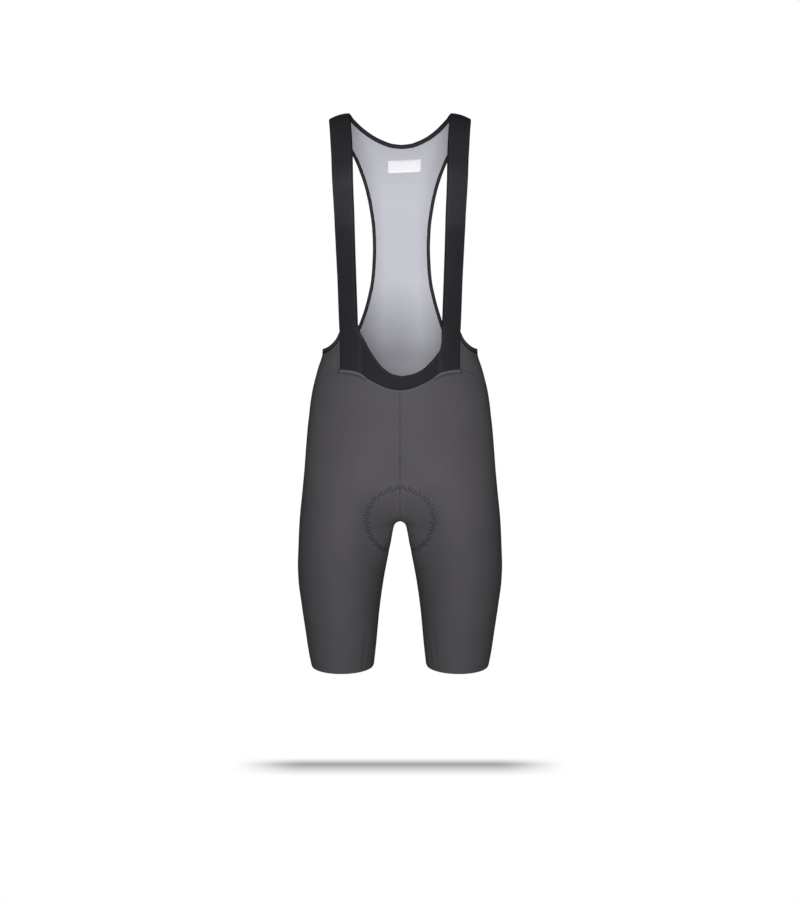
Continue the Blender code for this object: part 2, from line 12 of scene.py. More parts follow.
import bpy
import numpy as np
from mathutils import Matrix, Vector


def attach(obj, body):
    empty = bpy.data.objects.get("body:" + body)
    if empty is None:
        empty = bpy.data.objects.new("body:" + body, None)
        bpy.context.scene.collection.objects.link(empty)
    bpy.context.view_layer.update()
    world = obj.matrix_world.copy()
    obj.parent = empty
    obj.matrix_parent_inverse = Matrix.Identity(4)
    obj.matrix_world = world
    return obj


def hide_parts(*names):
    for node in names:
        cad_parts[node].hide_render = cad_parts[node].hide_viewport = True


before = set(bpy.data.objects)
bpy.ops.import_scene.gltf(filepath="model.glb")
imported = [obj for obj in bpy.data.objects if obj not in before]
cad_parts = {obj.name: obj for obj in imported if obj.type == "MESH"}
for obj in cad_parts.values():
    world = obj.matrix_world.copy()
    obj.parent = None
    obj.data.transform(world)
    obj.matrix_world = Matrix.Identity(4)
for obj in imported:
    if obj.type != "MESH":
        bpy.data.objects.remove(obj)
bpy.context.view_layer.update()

MM = 0.001

# ---- The figure, as in the frame ----

# Height, half width, front depth, back depth (mm)
FIGURE = (
    (10, 190, 116, 112), (-60, 188, 118, 114), (-120, 180, 120, 117), (-200, 165, 120, 117),
    (-280, 150, 115, 108), (-340, 138, 108, 96), (-401.3, 134.2, 103, 88), (-436.1, 143.7, 102, 87),
    (-471, 152.6, 102, 91), (-506, 158, 103, 100), (-558.6, 163.5, 103, 115),
    (-611.4, 167.6, 99, 126), (-646.8, 171.1, 95, 129), (-703.5, 176.7, 90, 120),
    (-753.3, 179.1, 87, 106), (-780, 180, 85, 101.2), (-806.9, 179, 83, 97),
    (-842.7, 174.7, 79, 91), (-896.6, 167.1, 72, 81), (-932.7, 162, 67, 74), (-958, 157.2, 64, 68),
)
CREST = 4.3 * MM
SHOULDER_FROM = 85.7 * MM     # the shoulder falls away outside this half width
SHOULDER_FALL = 8             # metres of fall for each square metre of width
DOME = 150 * MM               # height over which the shoulder rounds into chest and back
DOME_DEPTH = 117 * MM

RISE_TOP = -560 * MM          # where the two legs start to part
CROTCH = -701.4 * MM
HEM = -958 * MM
PARTING_END = 0.8             # how fast the legs still part at the crotch
SADDLE = 20 * MM              # rounding of the cleft between the legs
# Inside of the leg: height, distance from the centre plane (mm)
INSIDE_LEG = (
    (-701.4, 0), (-701.8, 2.9), (-702.5, 4.8), (-703.7, 6.8), (-705.6, 8.8), (-708.2, 10.3),
    (-712, 11.6), (-717.7, 12.9), (-753.3, 19.3), (-806.9, 29.3), (-860.7, 36.6), (-914.6, 41.6),
    (-958, 46.3),
)
HEM_DROP = 3.1 * MM           # how much lower the hem is in front
# Waist seam: turn (degrees), height (mm)
WAIST_SEAM = (
    (0, -463.6), (3.1, -463.1), (8.1, -460.2), (14.8, -453.3), (22.6, -443.8), (26.5, -437),
    (30.3, -433.4), (38, -430.9), (46.4, -430.2), (58, -437.5), (70, -448), (77, -453.5),
    (90, -461), (110, -467), (130, -470.5), (180, -473),
)
HORN_TURN = 46.4              # where the band's outer edge meets the waist seam
HORN_START = 24               # where the horn starts to rise from the band's lower edge
BACK_TURN = 118.8             # where the side panel's back seam meets the waist seam
# Edges of a strap: drop below the crest, inner and outer distance from the centre plane (mm)
STRAP_EDGES = (
    (0, 86.1, 121.6), (20, 82.8, 119.3), (50, 80.4, 117.3), (80, 79, 115), (135, 77.8, 112.5),
    (185, 76.4, 110.3), (235, 74.9, 107.6), (285, 73.7, 105.8), (335, 72.3, 104.6),
    (370, 71.3, 103.4),
)
STRAP_BEHIND = 15 * MM        # length of strap behind the crest
HORN_INNER = (71.3, -355.8)   # corners where the strap meets the band: across, height (mm)
HORN_OUTER = (103.4, -364.8)
HORN_FOOT = 103               # the band's outer edge on the waist seam, across (mm)
# Scoop of the band: height, distance from centre on the wearer's right, and on the left (mm)
SCOOP = (
    (-355.8, 71.3, 71.3), (-370, 66.2, 71), (-382, 59.3, 70.7), (-394, 52.8, 68.8),
    (-409, 43.3, 59), (-421, 33.8, 47.8), (-430, 24.3, 36.8), (-437, 12.5, 21),
)
SCOOP_BOTTOM = (3, -440.4)
# Armhole, outer edge of its binding: turn (degrees), height (mm)
ARMHOLE_SIDE = (
    (49.6, -367.5), (53, -377), (57.8, -385), (64.5, -391.8), (74, -396.6), (90, -399.5),
    (104, -403), (115, -404),
)
# and up the back to the shoulder: across, height (mm)
ARMHOLE_BACK = (
    (106.2, -398.6), (89.2, -385), (79.2, -369.3), (72.6, -352), (61.8, -316.4), (54.8, -283),
    (52.1, -249), (51.4, -218), (52.5, -192), (57, -156.5), (64.4, -121.2), (75.2, -88.2),
    (84.7, -66), (96.6, -46), (109.2, -27),
)
# The back hangs a little to the wearer's left: how far, and over what heights it comes in and out
DRIFT = 2.6 * MM
DRIFT_HEIGHTS = (-430 * MM, -330 * MM, -45 * MM, 0)
DRIFT_DEPTH = 60 * MM         # how far behind the sides it is whole
TIP_OUTER = 120               # corners of the back panel under the strap's end, across (mm)
TIP_INNER = 84.6
# Neck, outer edge of its binding, from centre back to the shoulder: across, height (mm)
NECK = (
    (0, -43.2), (12, -42.2), (24.7, -38.8), (40.8, -32.3), (52.1, -25.8), (62.4, -18.6),
    (69.2, -12.9), (75.6, -6.9), (81.3, -1.3),
)
# Pad seen from the front: top, bottom, half width and height of the widest place (mm)
PAD_FRONT = (-642, -762, 50, -688)
PAD_BACK = (-578, -752, 98, -680)
PAD_TAPER = 1.6               # power of the outline below its widest place; an ellipse has 2
PAD_CUTTER = 130 * MM         # distance in front and behind at which it has these outlines
# Label inside the back: centre across and height, width, depth (mm), tilt (degrees)
LABEL = (5.2, -79.5, 58, 21, 2.6)

NECK_BINDING = 8 * MM
SIDE_BINDING = 8 * MM
BACK_BINDING = 6 * MM
NARROWING = (90, 140)         # turns between which the armhole's goes from one to the other

# Steps of the frame's own curves, which are divided further here
HORN_STEPS = 5
FRONT_STEPS = 10
ARMHOLE_STEPS = 42
SIDE_STEPS = 13
NECK_STEPS = 8
SEAM_STEPS = 3
FINER = 10                    # how many times finer

# ---- Cloth ----

LYCRA = 1 * MM                # thickness of each cloth
BAND = 1.5 * MM
STRAP = 1.7 * MM
SIDE = 1 * MM
MESH = 0.8 * MM
BINDING = 0.45 * MM           # one layer of the folded binding
LABEL_CLOTH = 0.45 * MM
LAP = 0.02 * MM               # how far a cloth reaches over a seam's line

EDGE_STEPS = np.array((0, 0.35, 0.7, 1.05, 1.5, 2, 2.7, 3.6, 4.8, 6.4)) * MM
SEAM_DIP = 0.8 * MM           # how deep an edge turns in at a seam, and over what width
SEAM_WIDTH = 1 * MM

# Creases of a leg: share and height of its start and end (mm), width and depth (mm)
LEG_CREASES = (
    (0.060, -762, 0.200, -748, 9, 0.4), (0.955, -716, 0.820, -690, 8, 1.2),
    (0.940, -738, 0.760, -722, 9, 1.4), (0.930, -764, 0.780, -760, 9, 0.9),
    (0.985, -640, 0.880, -600, 10, 0.8), (0.480, -508, 0.600, -530, 12, 0.6),
    (0.500, -560, 0.640, -590, 14, 0.6), (0.560, -760, 0.690, -790, 12, 0.5),
    (0.085, -912, 0.098, -962, 4, 0.7), (0.122, -888, 0.130, -964, 4.5, 1.1),
    (0.165, -916, 0.172, -962, 5, 0.5), (0.225, -880, 0.230, -955, 7, 0.4),
    (0.330, -900, 0.325, -950, 7, 0.30), (0.760, -890, 0.765, -948, 8, 0.40),
)


# ---- Numbers along curves ----

def smooth(rows, column, at):
    """Value of one column of a table at each place of its first column, without overshoot."""
    table = np.array(rows, dtype=float)
    table = table[np.argsort(table[:, 0])]
    xs = table[:, 0]
    ys = table[:, column]
    step = np.diff(xs)
    rise = np.diff(ys) / step
    slope = np.zeros_like(ys)
    slope[0] = rise[0]
    slope[-1] = rise[-1]
    for i in range(1, len(xs) - 1):
        if rise[i - 1] * rise[i] > 0:
            slope[i] = 2 * rise[i - 1] * rise[i] / (rise[i - 1] + rise[i])
    at = np.clip(np.asarray(at, dtype=float), xs[0], xs[-1])
    k = np.clip(np.searchsorted(xs, at, side="right") - 1, 0, len(xs) - 2)
    t = (at - xs[k]) / step[k]
    return ((2 * t**3 - 3 * t**2 + 1) * ys[k] + (t**3 - 2 * t**2 + t) * step[k] * slope[k]
            + (3 * t**2 - 2 * t**3) * ys[k + 1] + (t**3 - t**2) * step[k] * slope[k + 1])


def unit(vectors):
    """Vectors of length one."""
    return vectors / np.maximum(np.linalg.norm(vectors, axis=-1, keepdims=True), 1e-12)


def eased(share, end_slope=0):
    """A rise from 0 to 1 that starts level and ends with the given slope."""
    return share**2 * (3 - end_slope - (2 - end_slope) * share)


def over(values, low, high):
    """0 below low, 1 above high, eased in between."""
    return eased(np.clip((values - low) / (high - low), 0, 1))


def plateau(values, *at):
    """1 between the second and third of four values, 0 outside the first and last."""
    return over(values, at[0], at[1]) * (1 - over(values, at[2], at[3]))


def hump(values, middle, width):
    """1 at the middle, falling away over the width on both sides."""
    return np.exp(-((values - middle) / width) ** 2)


def lengths_along(points):
    """Length from the first row of points to each row."""
    steps = np.linalg.norm(np.diff(points, axis=0), axis=-1)
    return np.concatenate((np.zeros((1,) + steps.shape[1:]), np.cumsum(steps, axis=0)))


def spaced(length, pitch):
    """Shares along a length, an even pitch apart but closer beside the seams at both ends."""
    count = max(int(round((length - 2 * EDGE_STEPS[-1]) / pitch)), 1)
    middle = np.linspace(EDGE_STEPS[-1], length - EDGE_STEPS[-1], count + 1)
    at = np.concatenate((EDGE_STEPS[:-1], middle, (length - EDGE_STEPS[::-1])[1:]))
    return at / length


# ---- Places on the figure ----

def figure(height):
    """Half width, front depth and back depth of the figure at heights."""
    return [smooth(FIGURE, column, height / MM) * MM for column in (1, 2, 3)]


def shoulder_fall(across, drop):
    """How far the shoulder has fallen away at this distance from the centre plane."""
    outside = np.maximum(np.abs(across) - SHOULDER_FROM, 0)
    return SHOULDER_FALL * outside**2 * np.maximum(1 - drop / DOME, 0)


DOME_ANGLES = np.linspace(0, math.pi / 2, 2000)
DOME_DROPS = DOME * (1 - np.cos(DOME_ANGLES))
DOME_LENGTHS = np.concatenate(([0], np.cumsum(np.hypot(
    np.diff(DOME_DROPS), np.diff(DOME_DEPTH * np.sin(DOME_ANGLES))))))


def drop_of(down):
    """Drop below the crest of places this far down the surface."""
    below = DOME + down - DOME_LENGTHS[-1]
    return np.where(down < DOME_LENGTHS[-1], np.interp(down, DOME_LENGTHS, DOME_DROPS), below)


def down_of(drop):
    """Length down the surface to places with this drop."""
    below = DOME_LENGTHS[-1] + drop - DOME
    return np.where(drop < DOME, np.interp(drop, DOME_DROPS, DOME_LENGTHS), below)


def body(places):
    """Points of the figure's surface at places."""
    turn = np.where(places[..., 1] < 0, 180 - places[..., 0], places[..., 0])
    drop = drop_of(np.abs(places[..., 1]))
    width, front, back = figure(CREST - drop)
    angle = np.radians(turn)
    across = width * np.sin(angle)
    depth = np.where(np.abs(turn) < 90, front, back)
    dome = np.sqrt(np.maximum(1 - np.maximum(1 - drop / DOME, 0) ** 2, 0))
    height = CREST - drop - shoulder_fall(across, drop)
    return np.stack((across, -depth * np.cos(angle) * dome, height), axis=-1)


def tangents(places):
    """Change of the surface point for a degree of turn and for a metre of down."""
    turned = np.array((0.05, 0))
    lowered = np.array((0, 0.1 * MM))
    along = (body(places + turned) - body(places - turned)) / (2 * turned[0])
    below = (body(places + lowered) - body(places - lowered)) / (2 * lowered[1])
    return along, below


def body_normals(places):
    """Outward directions of the figure at places."""
    along, below = tangents(places)
    return unit(np.cross(below, along))


def surface(places):
    """Points of the figure at places, and its outward directions there."""
    return body(places), body_normals(places)


def spot(across, height, back=False):
    """The place of a point given by its distance across and its height, both in mm."""
    across = np.asarray(across) * MM
    height = np.asarray(height) * MM
    drop = CREST - height
    for _ in range(20):
        drop = np.maximum(CREST - height - shoulder_fall(across, drop), 0)
    turn = np.degrees(np.arcsin(across / figure(CREST - drop)[0]))
    return np.stack((180 - turn if back else turn, down_of(drop)), axis=-1)


def level(turn, height):
    """The place of a point below the shoulders given by its turn and its height in mm."""
    turn = np.asarray(turn, dtype=float)
    return np.stack((turn, down_of(CREST - np.asarray(height) * MM)), axis=-1)


def inset(curve, distances):
    """Move a curve of places in the surface, to its left seen from outside."""
    along, below = tangents(curve)
    side = np.cross(np.cross(below, along), np.gradient(body(curve), axis=0))
    side = unit(side) * np.broadcast_to(distances, len(curve))[:, None]
    aa = np.sum(along * along, axis=1)
    ab = np.sum(along * below, axis=1)
    bb = np.sum(below * below, axis=1)
    sa = np.sum(side * along, axis=1)
    sb = np.sum(side * below, axis=1)
    scale = aa * bb - ab * ab
    return curve + np.stack(((sa * bb - sb * ab) / scale, (sb * aa - sa * ab) / scale), axis=1)


def through(places, steps):
    """Even steps along a smooth curve through places."""
    places = np.array(places)
    lengths = lengths_along(body(places))
    at = np.linspace(0, lengths[-1], steps + 1)
    columns = [smooth(np.column_stack((lengths, places[:, c])), 1, at) for c in (0, 1)]
    return np.column_stack(columns)


def between(start, end, steps):
    """Even steps along a straight line of places."""
    shares = np.linspace(0, 1, steps + 1)[:, None]
    return (1 - shares) * np.array(start) + shares * np.array(end)


def finer(curve):
    """A smooth curve through the same places with more steps."""
    index = np.arange(len(curve))
    at = np.linspace(0, len(curve) - 1, (len(curve) - 1) * FINER + 1)
    return np.column_stack([smooth(np.column_stack((index, curve[:, c])), 1, at) for c in (0, 1)])


def ribbon(first, last, shares):
    """Grid of places with straight rungs from one edge to the other."""
    shares = np.asarray(shares)[:, None, None]
    return (1 - shares) * first[None] + shares * last[None]


def waist(turns):
    """Places on the waist seam."""
    return level(turns, smooth(WAIST_SEAM, 1, np.abs(turns))) + np.array((0, LAP))


# ---- Places on the legs ----

def leg_ring(height):
    """Centre, half width, rounding and first angle of a leg's ring, with its depths."""
    width, front, back = figure(height)
    rise = np.clip((RISE_TOP - height) / (RISE_TOP - CROTCH), 0, 1)
    parted = np.minimum(eased(rise, PARTING_END), 1)
    rounding = SADDLE * eased(rise)
    outer = np.hypot(width, rounding)
    inner = np.hypot(smooth(INSIDE_LEG, 1, height / MM) * MM, SADDLE)
    above = height >= CROTCH
    half = np.where(above, (outer - rounding) / (1 + parted), (outer - inner) / 2)
    centre = np.where(above, rounding + parted * half, (outer + inner) / 2)
    return centre, half, rounding, -np.arcsin(parted), front, back


def leg(share, height):
    """Points of the left leg."""
    centre, half, rounding, first, front, back = leg_ring(height)
    angle = first + share * (math.pi - 2 * first)
    across = centre + half * np.sin(angle)
    depth = np.where(np.cos(angle) > 0, front, back)
    x = np.sqrt(np.maximum(across**2 - rounding**2, 0))
    return np.stack((x, -depth * np.cos(angle), np.broadcast_to(height, x.shape)), axis=-1)


def leg_share(points):
    """Shares of points on the left leg."""
    centre, half, rounding, first, _, _ = leg_ring(points[..., 2])
    angle = np.arcsin(np.clip((np.hypot(points[..., 0], rounding) - centre) / half, -1, 1))
    angle = np.where(points[..., 1] > 0, math.pi - angle, angle)
    return (angle - first) / (math.pi - 2 * first)


def leg_outside(points):
    """How far points lie from the left leg's axis: 1 on its surface, less within."""
    x, y, z = points[..., 0], points[..., 1], points[..., 2]
    centre, half, rounding, _, front, back = leg_ring(z)
    return ((np.hypot(x, rounding) - centre) / half) ** 2 + (y / np.where(y > 0, back, front)) ** 2


def slopes(field, points):
    """How a field changes along each axis at points."""
    small = 0.05 * MM
    held = points.copy()
    held[..., 2] = np.clip(held[..., 2], HEM + small, -small)
    return np.stack([field(held + step) - field(held - step) for step in np.eye(3) * small],
                    axis=-1) / (2 * small)


def leg_normals(points):
    """Outward directions of the left leg's surface at points on it."""
    return unit(slopes(leg_outside, points))


def pad_spread(points):
    """How far points lie from the pad's middle: 1 on its outline."""
    share = np.clip((points[..., 1] + PAD_CUTTER) / (2 * PAD_CUTTER), 0, 1)
    top, bottom, wide, middle = [
        (front + share * (back - front)) * MM for front, back in zip(PAD_FRONT, PAD_BACK)]
    up = points[..., 2] - middle
    power = np.where(up > 0, 2, PAD_TAPER)
    reach = np.where(up > 0, top - middle, middle - bottom)
    return (np.abs(points[..., 0] / wide) ** power + np.abs(up / reach) ** power) ** (1 / power)


def inside_pad(points, normals):
    """Distance inside the pad's outline, along the leg's surface."""
    slope = slopes(pad_spread, points)
    slope = slope - normals * np.sum(slope * normals, axis=-1, keepdims=True)
    return (1 - pad_spread(points)) / np.maximum(np.linalg.norm(slope, axis=-1), 4)


def pad_path(offset):
    """Line on the left leg along the pad's outline, moved out by offset, from front top to back top."""
    shares = np.linspace(0, 1, 1200)[:, None]
    fronts = []
    backs = []
    for angle in np.radians(np.linspace(90, -89, 240)):
        ends = []
        upper = angle > 0
        power = 1 if upper else 2 / PAD_TAPER
        out = math.cos(angle) ** power
        up = math.copysign(abs(math.sin(angle)) ** power, angle)
        for y, (top, bottom, wide, middle) in ((-PAD_CUTTER, PAD_FRONT), (PAD_CUTTER, PAD_BACK)):
            reach = top - middle if upper else middle - bottom
            across = (wide * MM + offset) * out
            ends.append(np.array((across, y, middle * MM + (reach * MM + offset) * up)))
        line = ends[0] + shares * (ends[1] - ends[0])
        within = np.nonzero(leg_outside(line) < 1)[0]
        if len(within) == 0:
            break
        fronts.append(line[within[0]])
        backs.append(line[within[-1]])
    path = np.array(fronts + backs[::-1])
    path[:, 0] = np.maximum(path[:, 0], 0.3 * MM)
    apart = np.linalg.norm(np.diff(path, axis=0), axis=1) > 0.1 * MM
    path = path[np.concatenate(([True], apart))]
    for _ in range(6):
        path[1:-1] = (path[:-2] + 2 * path[1:-1] + path[2:]) / 4
    return path, leg_normals(path)


# ---- Meshes ----


def mirrored(points):
    """The same points on the wearer's other side."""
    return points * np.array((-1, 1, 1))


def drifted(points):
    """Points of the back brought a little to the wearer's left."""
    share = plateau(points[:, 2], *DRIFT_HEIGHTS) * over(points[:, 1], 0, DRIFT_DEPTH)
    return points + np.outer(share, (DRIFT, 0, 0))


def placed(name, data):
    """A new object in the scene."""
    made = bpy.data.objects.new(name, data)
    bpy.context.scene.collection.objects.link(made)
    return made


def add_piece(name, vertices, faces, finish, nodes=(), uv=None):
    """A smooth mesh that rides on the garment's one body and stands for its nodes."""
    mesh = bpy.data.meshes.new(name)
    mesh.from_pydata(drifted(vertices).tolist(), [], faces)
    if uv is not None:
        layer = mesh.uv_layers.new(name="cloth")
        layer.data.foreach_set("uv", np.ascontiguousarray(uv, dtype=np.float32).ravel())
    mesh.shade_smooth()
    mesh.set_sharp_from_angle(angle=math.radians(60))
    mesh.materials.append(finish)
    piece = placed(name, mesh)
    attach(piece, "root")
    if nodes:
        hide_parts(*nodes)
    return piece


def add_shell(name, points, normals, wall, uv, finish, nodes, ring_row=None, joined=0):
    """A closed cloth wall whose outer face is a grid; wall is its thickness, or one for each point.

    From row ring_row on its first and last columns are joined to a tube.  With joined, the grid is the
    left half, and its mirror image shares that many points of the first row.
    """
    index = np.arange(points.shape[0] * points.shape[1]).reshape(points.shape[:2])
    corners = (index[:-1, :-1], index[:-1, 1:], index[1:, 1:], index[1:, :-1])
    quads = np.stack(corners, axis=-1).reshape(-1, 4)
    same = index.copy()       # the point that each one is joined to
    if ring_row is not None:
        same[ring_row:, -1] = same[ring_row:, 0]
    same = same.reshape(-1)
    points = points.reshape(-1, 3)
    normals = normals.reshape(-1, 3)
    uv = uv.reshape(-1, 2)
    if joined:
        twin = same + len(same)
        twin[:joined] = same[:joined]
        quads = np.concatenate((quads, quads[:, ::-1] + len(same)))
        same = np.concatenate((same, twin))
        points = np.concatenate((points, mirrored(points)))
        normals = np.concatenate((normals, mirrored(normals)))
        uv = np.concatenate((uv, uv * (-1, 1)))
    facing = np.cross(points[quads[:, 2]] - points[quads[:, 0]], points[quads[:, 3]] - points[quads[:, 1]])
    if np.sum(facing * normals[quads[:, 0]]) < 0:
        quads = quads[:, ::-1]
    count = len(points)
    after = np.roll(quads, -1, axis=1).reshape(-1)
    before = quads.reshape(-1)
    edges = same[before] * count + same[after]
    free = ~np.isin(edges, same[after] * count + same[before])
    rim = np.stack((after[free], before[free], before[free] + count, after[free] + count), axis=-1)
    corners = np.concatenate((quads, quads[:, ::-1] + count, rim))
    used, faces = np.unique(np.concatenate((same, same + count))[corners], return_inverse=True)
    inner = points - normals * np.broadcast_to(wall, count)[:, None]
    return add_piece(name, np.concatenate((points, inner))[used], faces.reshape(-1, 4).tolist(), finish,
                     nodes, np.concatenate((uv, uv))[corners.reshape(-1)])


def add_pair(name, points, normals, wall, uv, finish, ring_row=None):
    """A left piece and its mirror image on the right."""
    for side, p, n in (("_left", points, normals), ("_right", mirrored(points), mirrored(normals))):
        add_shell("cloth_" + name + side, p, n, wall, uv, finish, [name + side], ring_row)


def grid_uv(points):
    """UV of a grid in metres: along its middle row, and down its middle column."""
    down = lengths_along(points[:, points.shape[1] // 2])
    across = lengths_along(points[points.shape[0] // 2])
    return np.stack(np.meshgrid(across, down), axis=-1)


def edge_distances(points):
    """Distance of each point of a grid from its first row, last row, first column and last column."""
    down = lengths_along(points)
    across = lengths_along(points.transpose(1, 0, 2)).T
    return down, down[-1:] - down, across, across[:, -1:] - across


def ridges(values, rows):
    """Relief of ridges and grooves: place, half width and height of each (mm)."""
    return sum(height * MM * hump(values, place * MM, half * MM) for place, half, height in rows)


def seam(distance, depth=SEAM_DIP):
    """Relief of an edge that turns in at a seam."""
    return -depth * hump(distance, 0, SEAM_WIDTH)


def allowance(distance, width, height):
    """Relief of a seam allowance lying under the cloth: a low step as wide as the allowance."""
    return height * plateau(distance, 0, 1.2 * MM, width - 0.6 * MM, width + 0.9 * MM)


def troughs(points, creases):
    """Relief of soft creases, each along a straight line of places on a leg."""
    relief = np.zeros(points.shape[:-1])
    part = np.linspace(0, 1, 25)
    for first, top, last, bottom, width, depth in creases:
        path = leg(first + part * (last - first), (top + part * (bottom - top)) * MM)
        nearest = np.full(relief.shape, np.inf)
        place = np.zeros(relief.shape)
        for share, point in zip(part, path):
            distance = np.linalg.norm(points - point, axis=-1)
            place = np.where(distance < nearest, share, place)
            nearest = np.minimum(distance, nearest)
        taper = np.sin(math.pi * np.clip(place, 0.02, 0.98)) ** 0.7
        relief -= depth * MM * taper * hump(nearest, 0, width * MM)
    return relief


# ---- Sewing ----

THREAD_SIDES = 6
SWAY = 2.4                    # how fast the unevenness of slanted stitches comes and goes (radians)
# Along a stitch: share of its length, height of its middle and its radius, in thread radii
STITCH = (
    (0, -0.9, 0.55), (0.12, 0.05, 0.95), (0.5, 0.45, 1), (0.88, 0.05, 0.95), (1, -0.9, 0.55),
)


def evenly(line, spacing):
    """Places at an even spacing along a line of (points, normals)."""
    points, normals = line
    lengths = lengths_along(points)
    at = np.linspace(0, lengths[-1], max(int(round(lengths[-1] / spacing)), 1) + 1)
    spread = [np.column_stack([np.interp(at, lengths, rows[:, c]) for c in range(3)])
              for rows in (points, normals)]
    return spread[0], unit(spread[1])


def grid_line(points, normals, distance, edge):
    """A line on a grid at a distance from its first or last row or column."""
    if edge.endswith("column"):
        points = points.transpose(1, 0, 2)
        normals = normals.transpose(1, 0, 2)
    if edge.startswith("last"):
        points = points[::-1]
        normals = normals[::-1]
    lengths = lengths_along(points)
    column = np.arange(points.shape[1])
    k = np.clip(np.sum(lengths < distance, axis=0) - 1, 0, len(points) - 2)
    low = lengths[k, column]
    part = np.clip((distance - low) / (lengths[k + 1, column] - low), 0, 1)[:, None]
    line = (1 - part) * points[k, column] + part * points[k + 1, column]
    return line, unit((1 - part) * normals[k, column] + part * normals[k + 1, column])


def moved(line, distance):
    """A line moved out by a distance."""
    return line[0] + line[1] * distance, line[1]


def underside(line, wall):
    """The line on the other face of a cloth."""
    return line[0] - line[1] * wall, -line[1]


class Sewing:
    """All the stitches of one thread, joined into one mesh."""

    def __init__(self, name, finish, radius):
        self.name = name
        self.finish = finish
        self.radius = radius
        self.vertices = []
        self.faces = []
        self.count = 0

    def stitches(self, starts, ends, outward, twice=True):
        """Short arched stitches from starts to ends, and with twice their mirror images."""
        ahead = unit(ends - starts)
        side = unit(np.cross(ahead, outward))
        lift = unit(np.cross(side, ahead))
        rings = []
        for share, height, size in STITCH:
            middle = starts + share * (ends - starts) + lift * (height * self.radius)
            for k in range(THREAD_SIDES):
                angle = 2 * math.pi * k / THREAD_SIDES
                around = math.cos(angle) * lift + math.sin(angle) * side
                rings.append(middle + around * (size * self.radius))
        own = len(STITCH) * THREAD_SIDES
        shape = [tuple(range(THREAD_SIDES))[::-1], tuple(range(own - THREAD_SIDES, own))]
        for ring in range(0, own - THREAD_SIDES, THREAD_SIDES):
            for k in range(THREAD_SIDES):
                a = ring + k
                b = ring + (k + 1) % THREAD_SIDES
                shape.append((a, b, b + THREAD_SIDES, a + THREAD_SIDES))
        self.vertices.append(np.stack(rings, axis=1).reshape(-1, 3))
        for first in range(self.count, self.count + len(starts) * own, own):
            self.faces += [tuple(i + first for i in face) for face in shape]
        self.count += len(starts) * own
        if twice:
            self.stitches(mirrored(starts), mirrored(ends), mirrored(outward), False)

    def row(self, line, length, gap, twice=True):
        """A row of stitches along a line."""
        points, normals = evenly(line, length + gap)
        ends = points[:-1] + length / (length + gap) * (points[1:] - points[:-1])
        self.stitches(points[:-1], ends, normals[:-1], twice)

    def zigzag(self, first, last, spacing, uneven=0):
        """Slanted stitches to and fro between two lines, uneven by this share of their length."""
        count = max(int(round(lengths_along(last[0])[-1] / spacing)), 2)
        near, normals = evenly(first, lengths_along(first[0])[-1] / count)
        far, _ = evenly(last, lengths_along(last[0])[-1] / count)
        middle = (far[:-1] + far[1:]) / 2
        sway = uneven * np.sin(SWAY * np.arange(count + 1))[:, None]
        middle = middle + sway[1:] * (middle - near[:-1])
        near = near + sway * (far - near)
        self.stitches(near[:-1], middle, normals[:-1])
        self.stitches(middle, near[1:], normals[1:])

    def finish_piece(self):
        return add_piece(self.name, np.concatenate(self.vertices), self.faces, self.finish)


# ---- Finishes; lengths in them are in mm ----

STRAP_WIDTH = 35 * MM         # width of the strap's pattern
LEG_GIRTH = 470 * MM          # girth of a leg's pattern
RIM = 3.6 * MM                # width of the band's folded rim along the scoop
TUCK = 3 * MM                 # how far a panel reaches into its binding
EYELET = (1.7, 1.5, 0.36)     # the mesh's pitch across and down, and its holes' radius (mm)


def linear(colour):
    """Linear light of an sRGB colour given from 0 to 255."""
    return [((c / 255 + 0.055) / 1.055) ** 2.4 for c in colour]


class Value:
    """A number in a finish that can be reckoned with."""

    def __init__(self, finish, socket):
        self.finish = finish
        self.socket = socket

    def math(self, operation, other=0):
        return self.finish.math(operation, self, other)

    def __add__(self, other):
        return self.math("ADD", other)

    def __sub__(self, other):
        return self.math("SUBTRACT", other)

    def __rsub__(self, other):
        return self.finish.math("SUBTRACT", other, self)

    def __mul__(self, other):
        return self.math("MULTIPLY", other)

    def __truediv__(self, other):
        return self.math("DIVIDE", other)

    def __pow__(self, other):
        return self.math("POWER", other)

    def __abs__(self):
        return self.math("ABSOLUTE")

    def ramp(self, low, high, from_low=0, from_high=1, kind="LINEAR"):
        """From low to high as the number goes through a range, held at both ends."""
        made = self.finish.node("ShaderNodeMapRange", interpolation_type=kind)
        for value, socket in zip((self, from_low, from_high, low, high), made.inputs):
            self.finish.put(value, socket)
        return Value(self.finish, made.outputs[0])

    def strip(self, *at, height=1):
        """The height between the second and third of four numbers, 0 outside the first and last."""
        return self.ramp(0, height, *at[:2]) * self.ramp(1, 0, *at[2:])


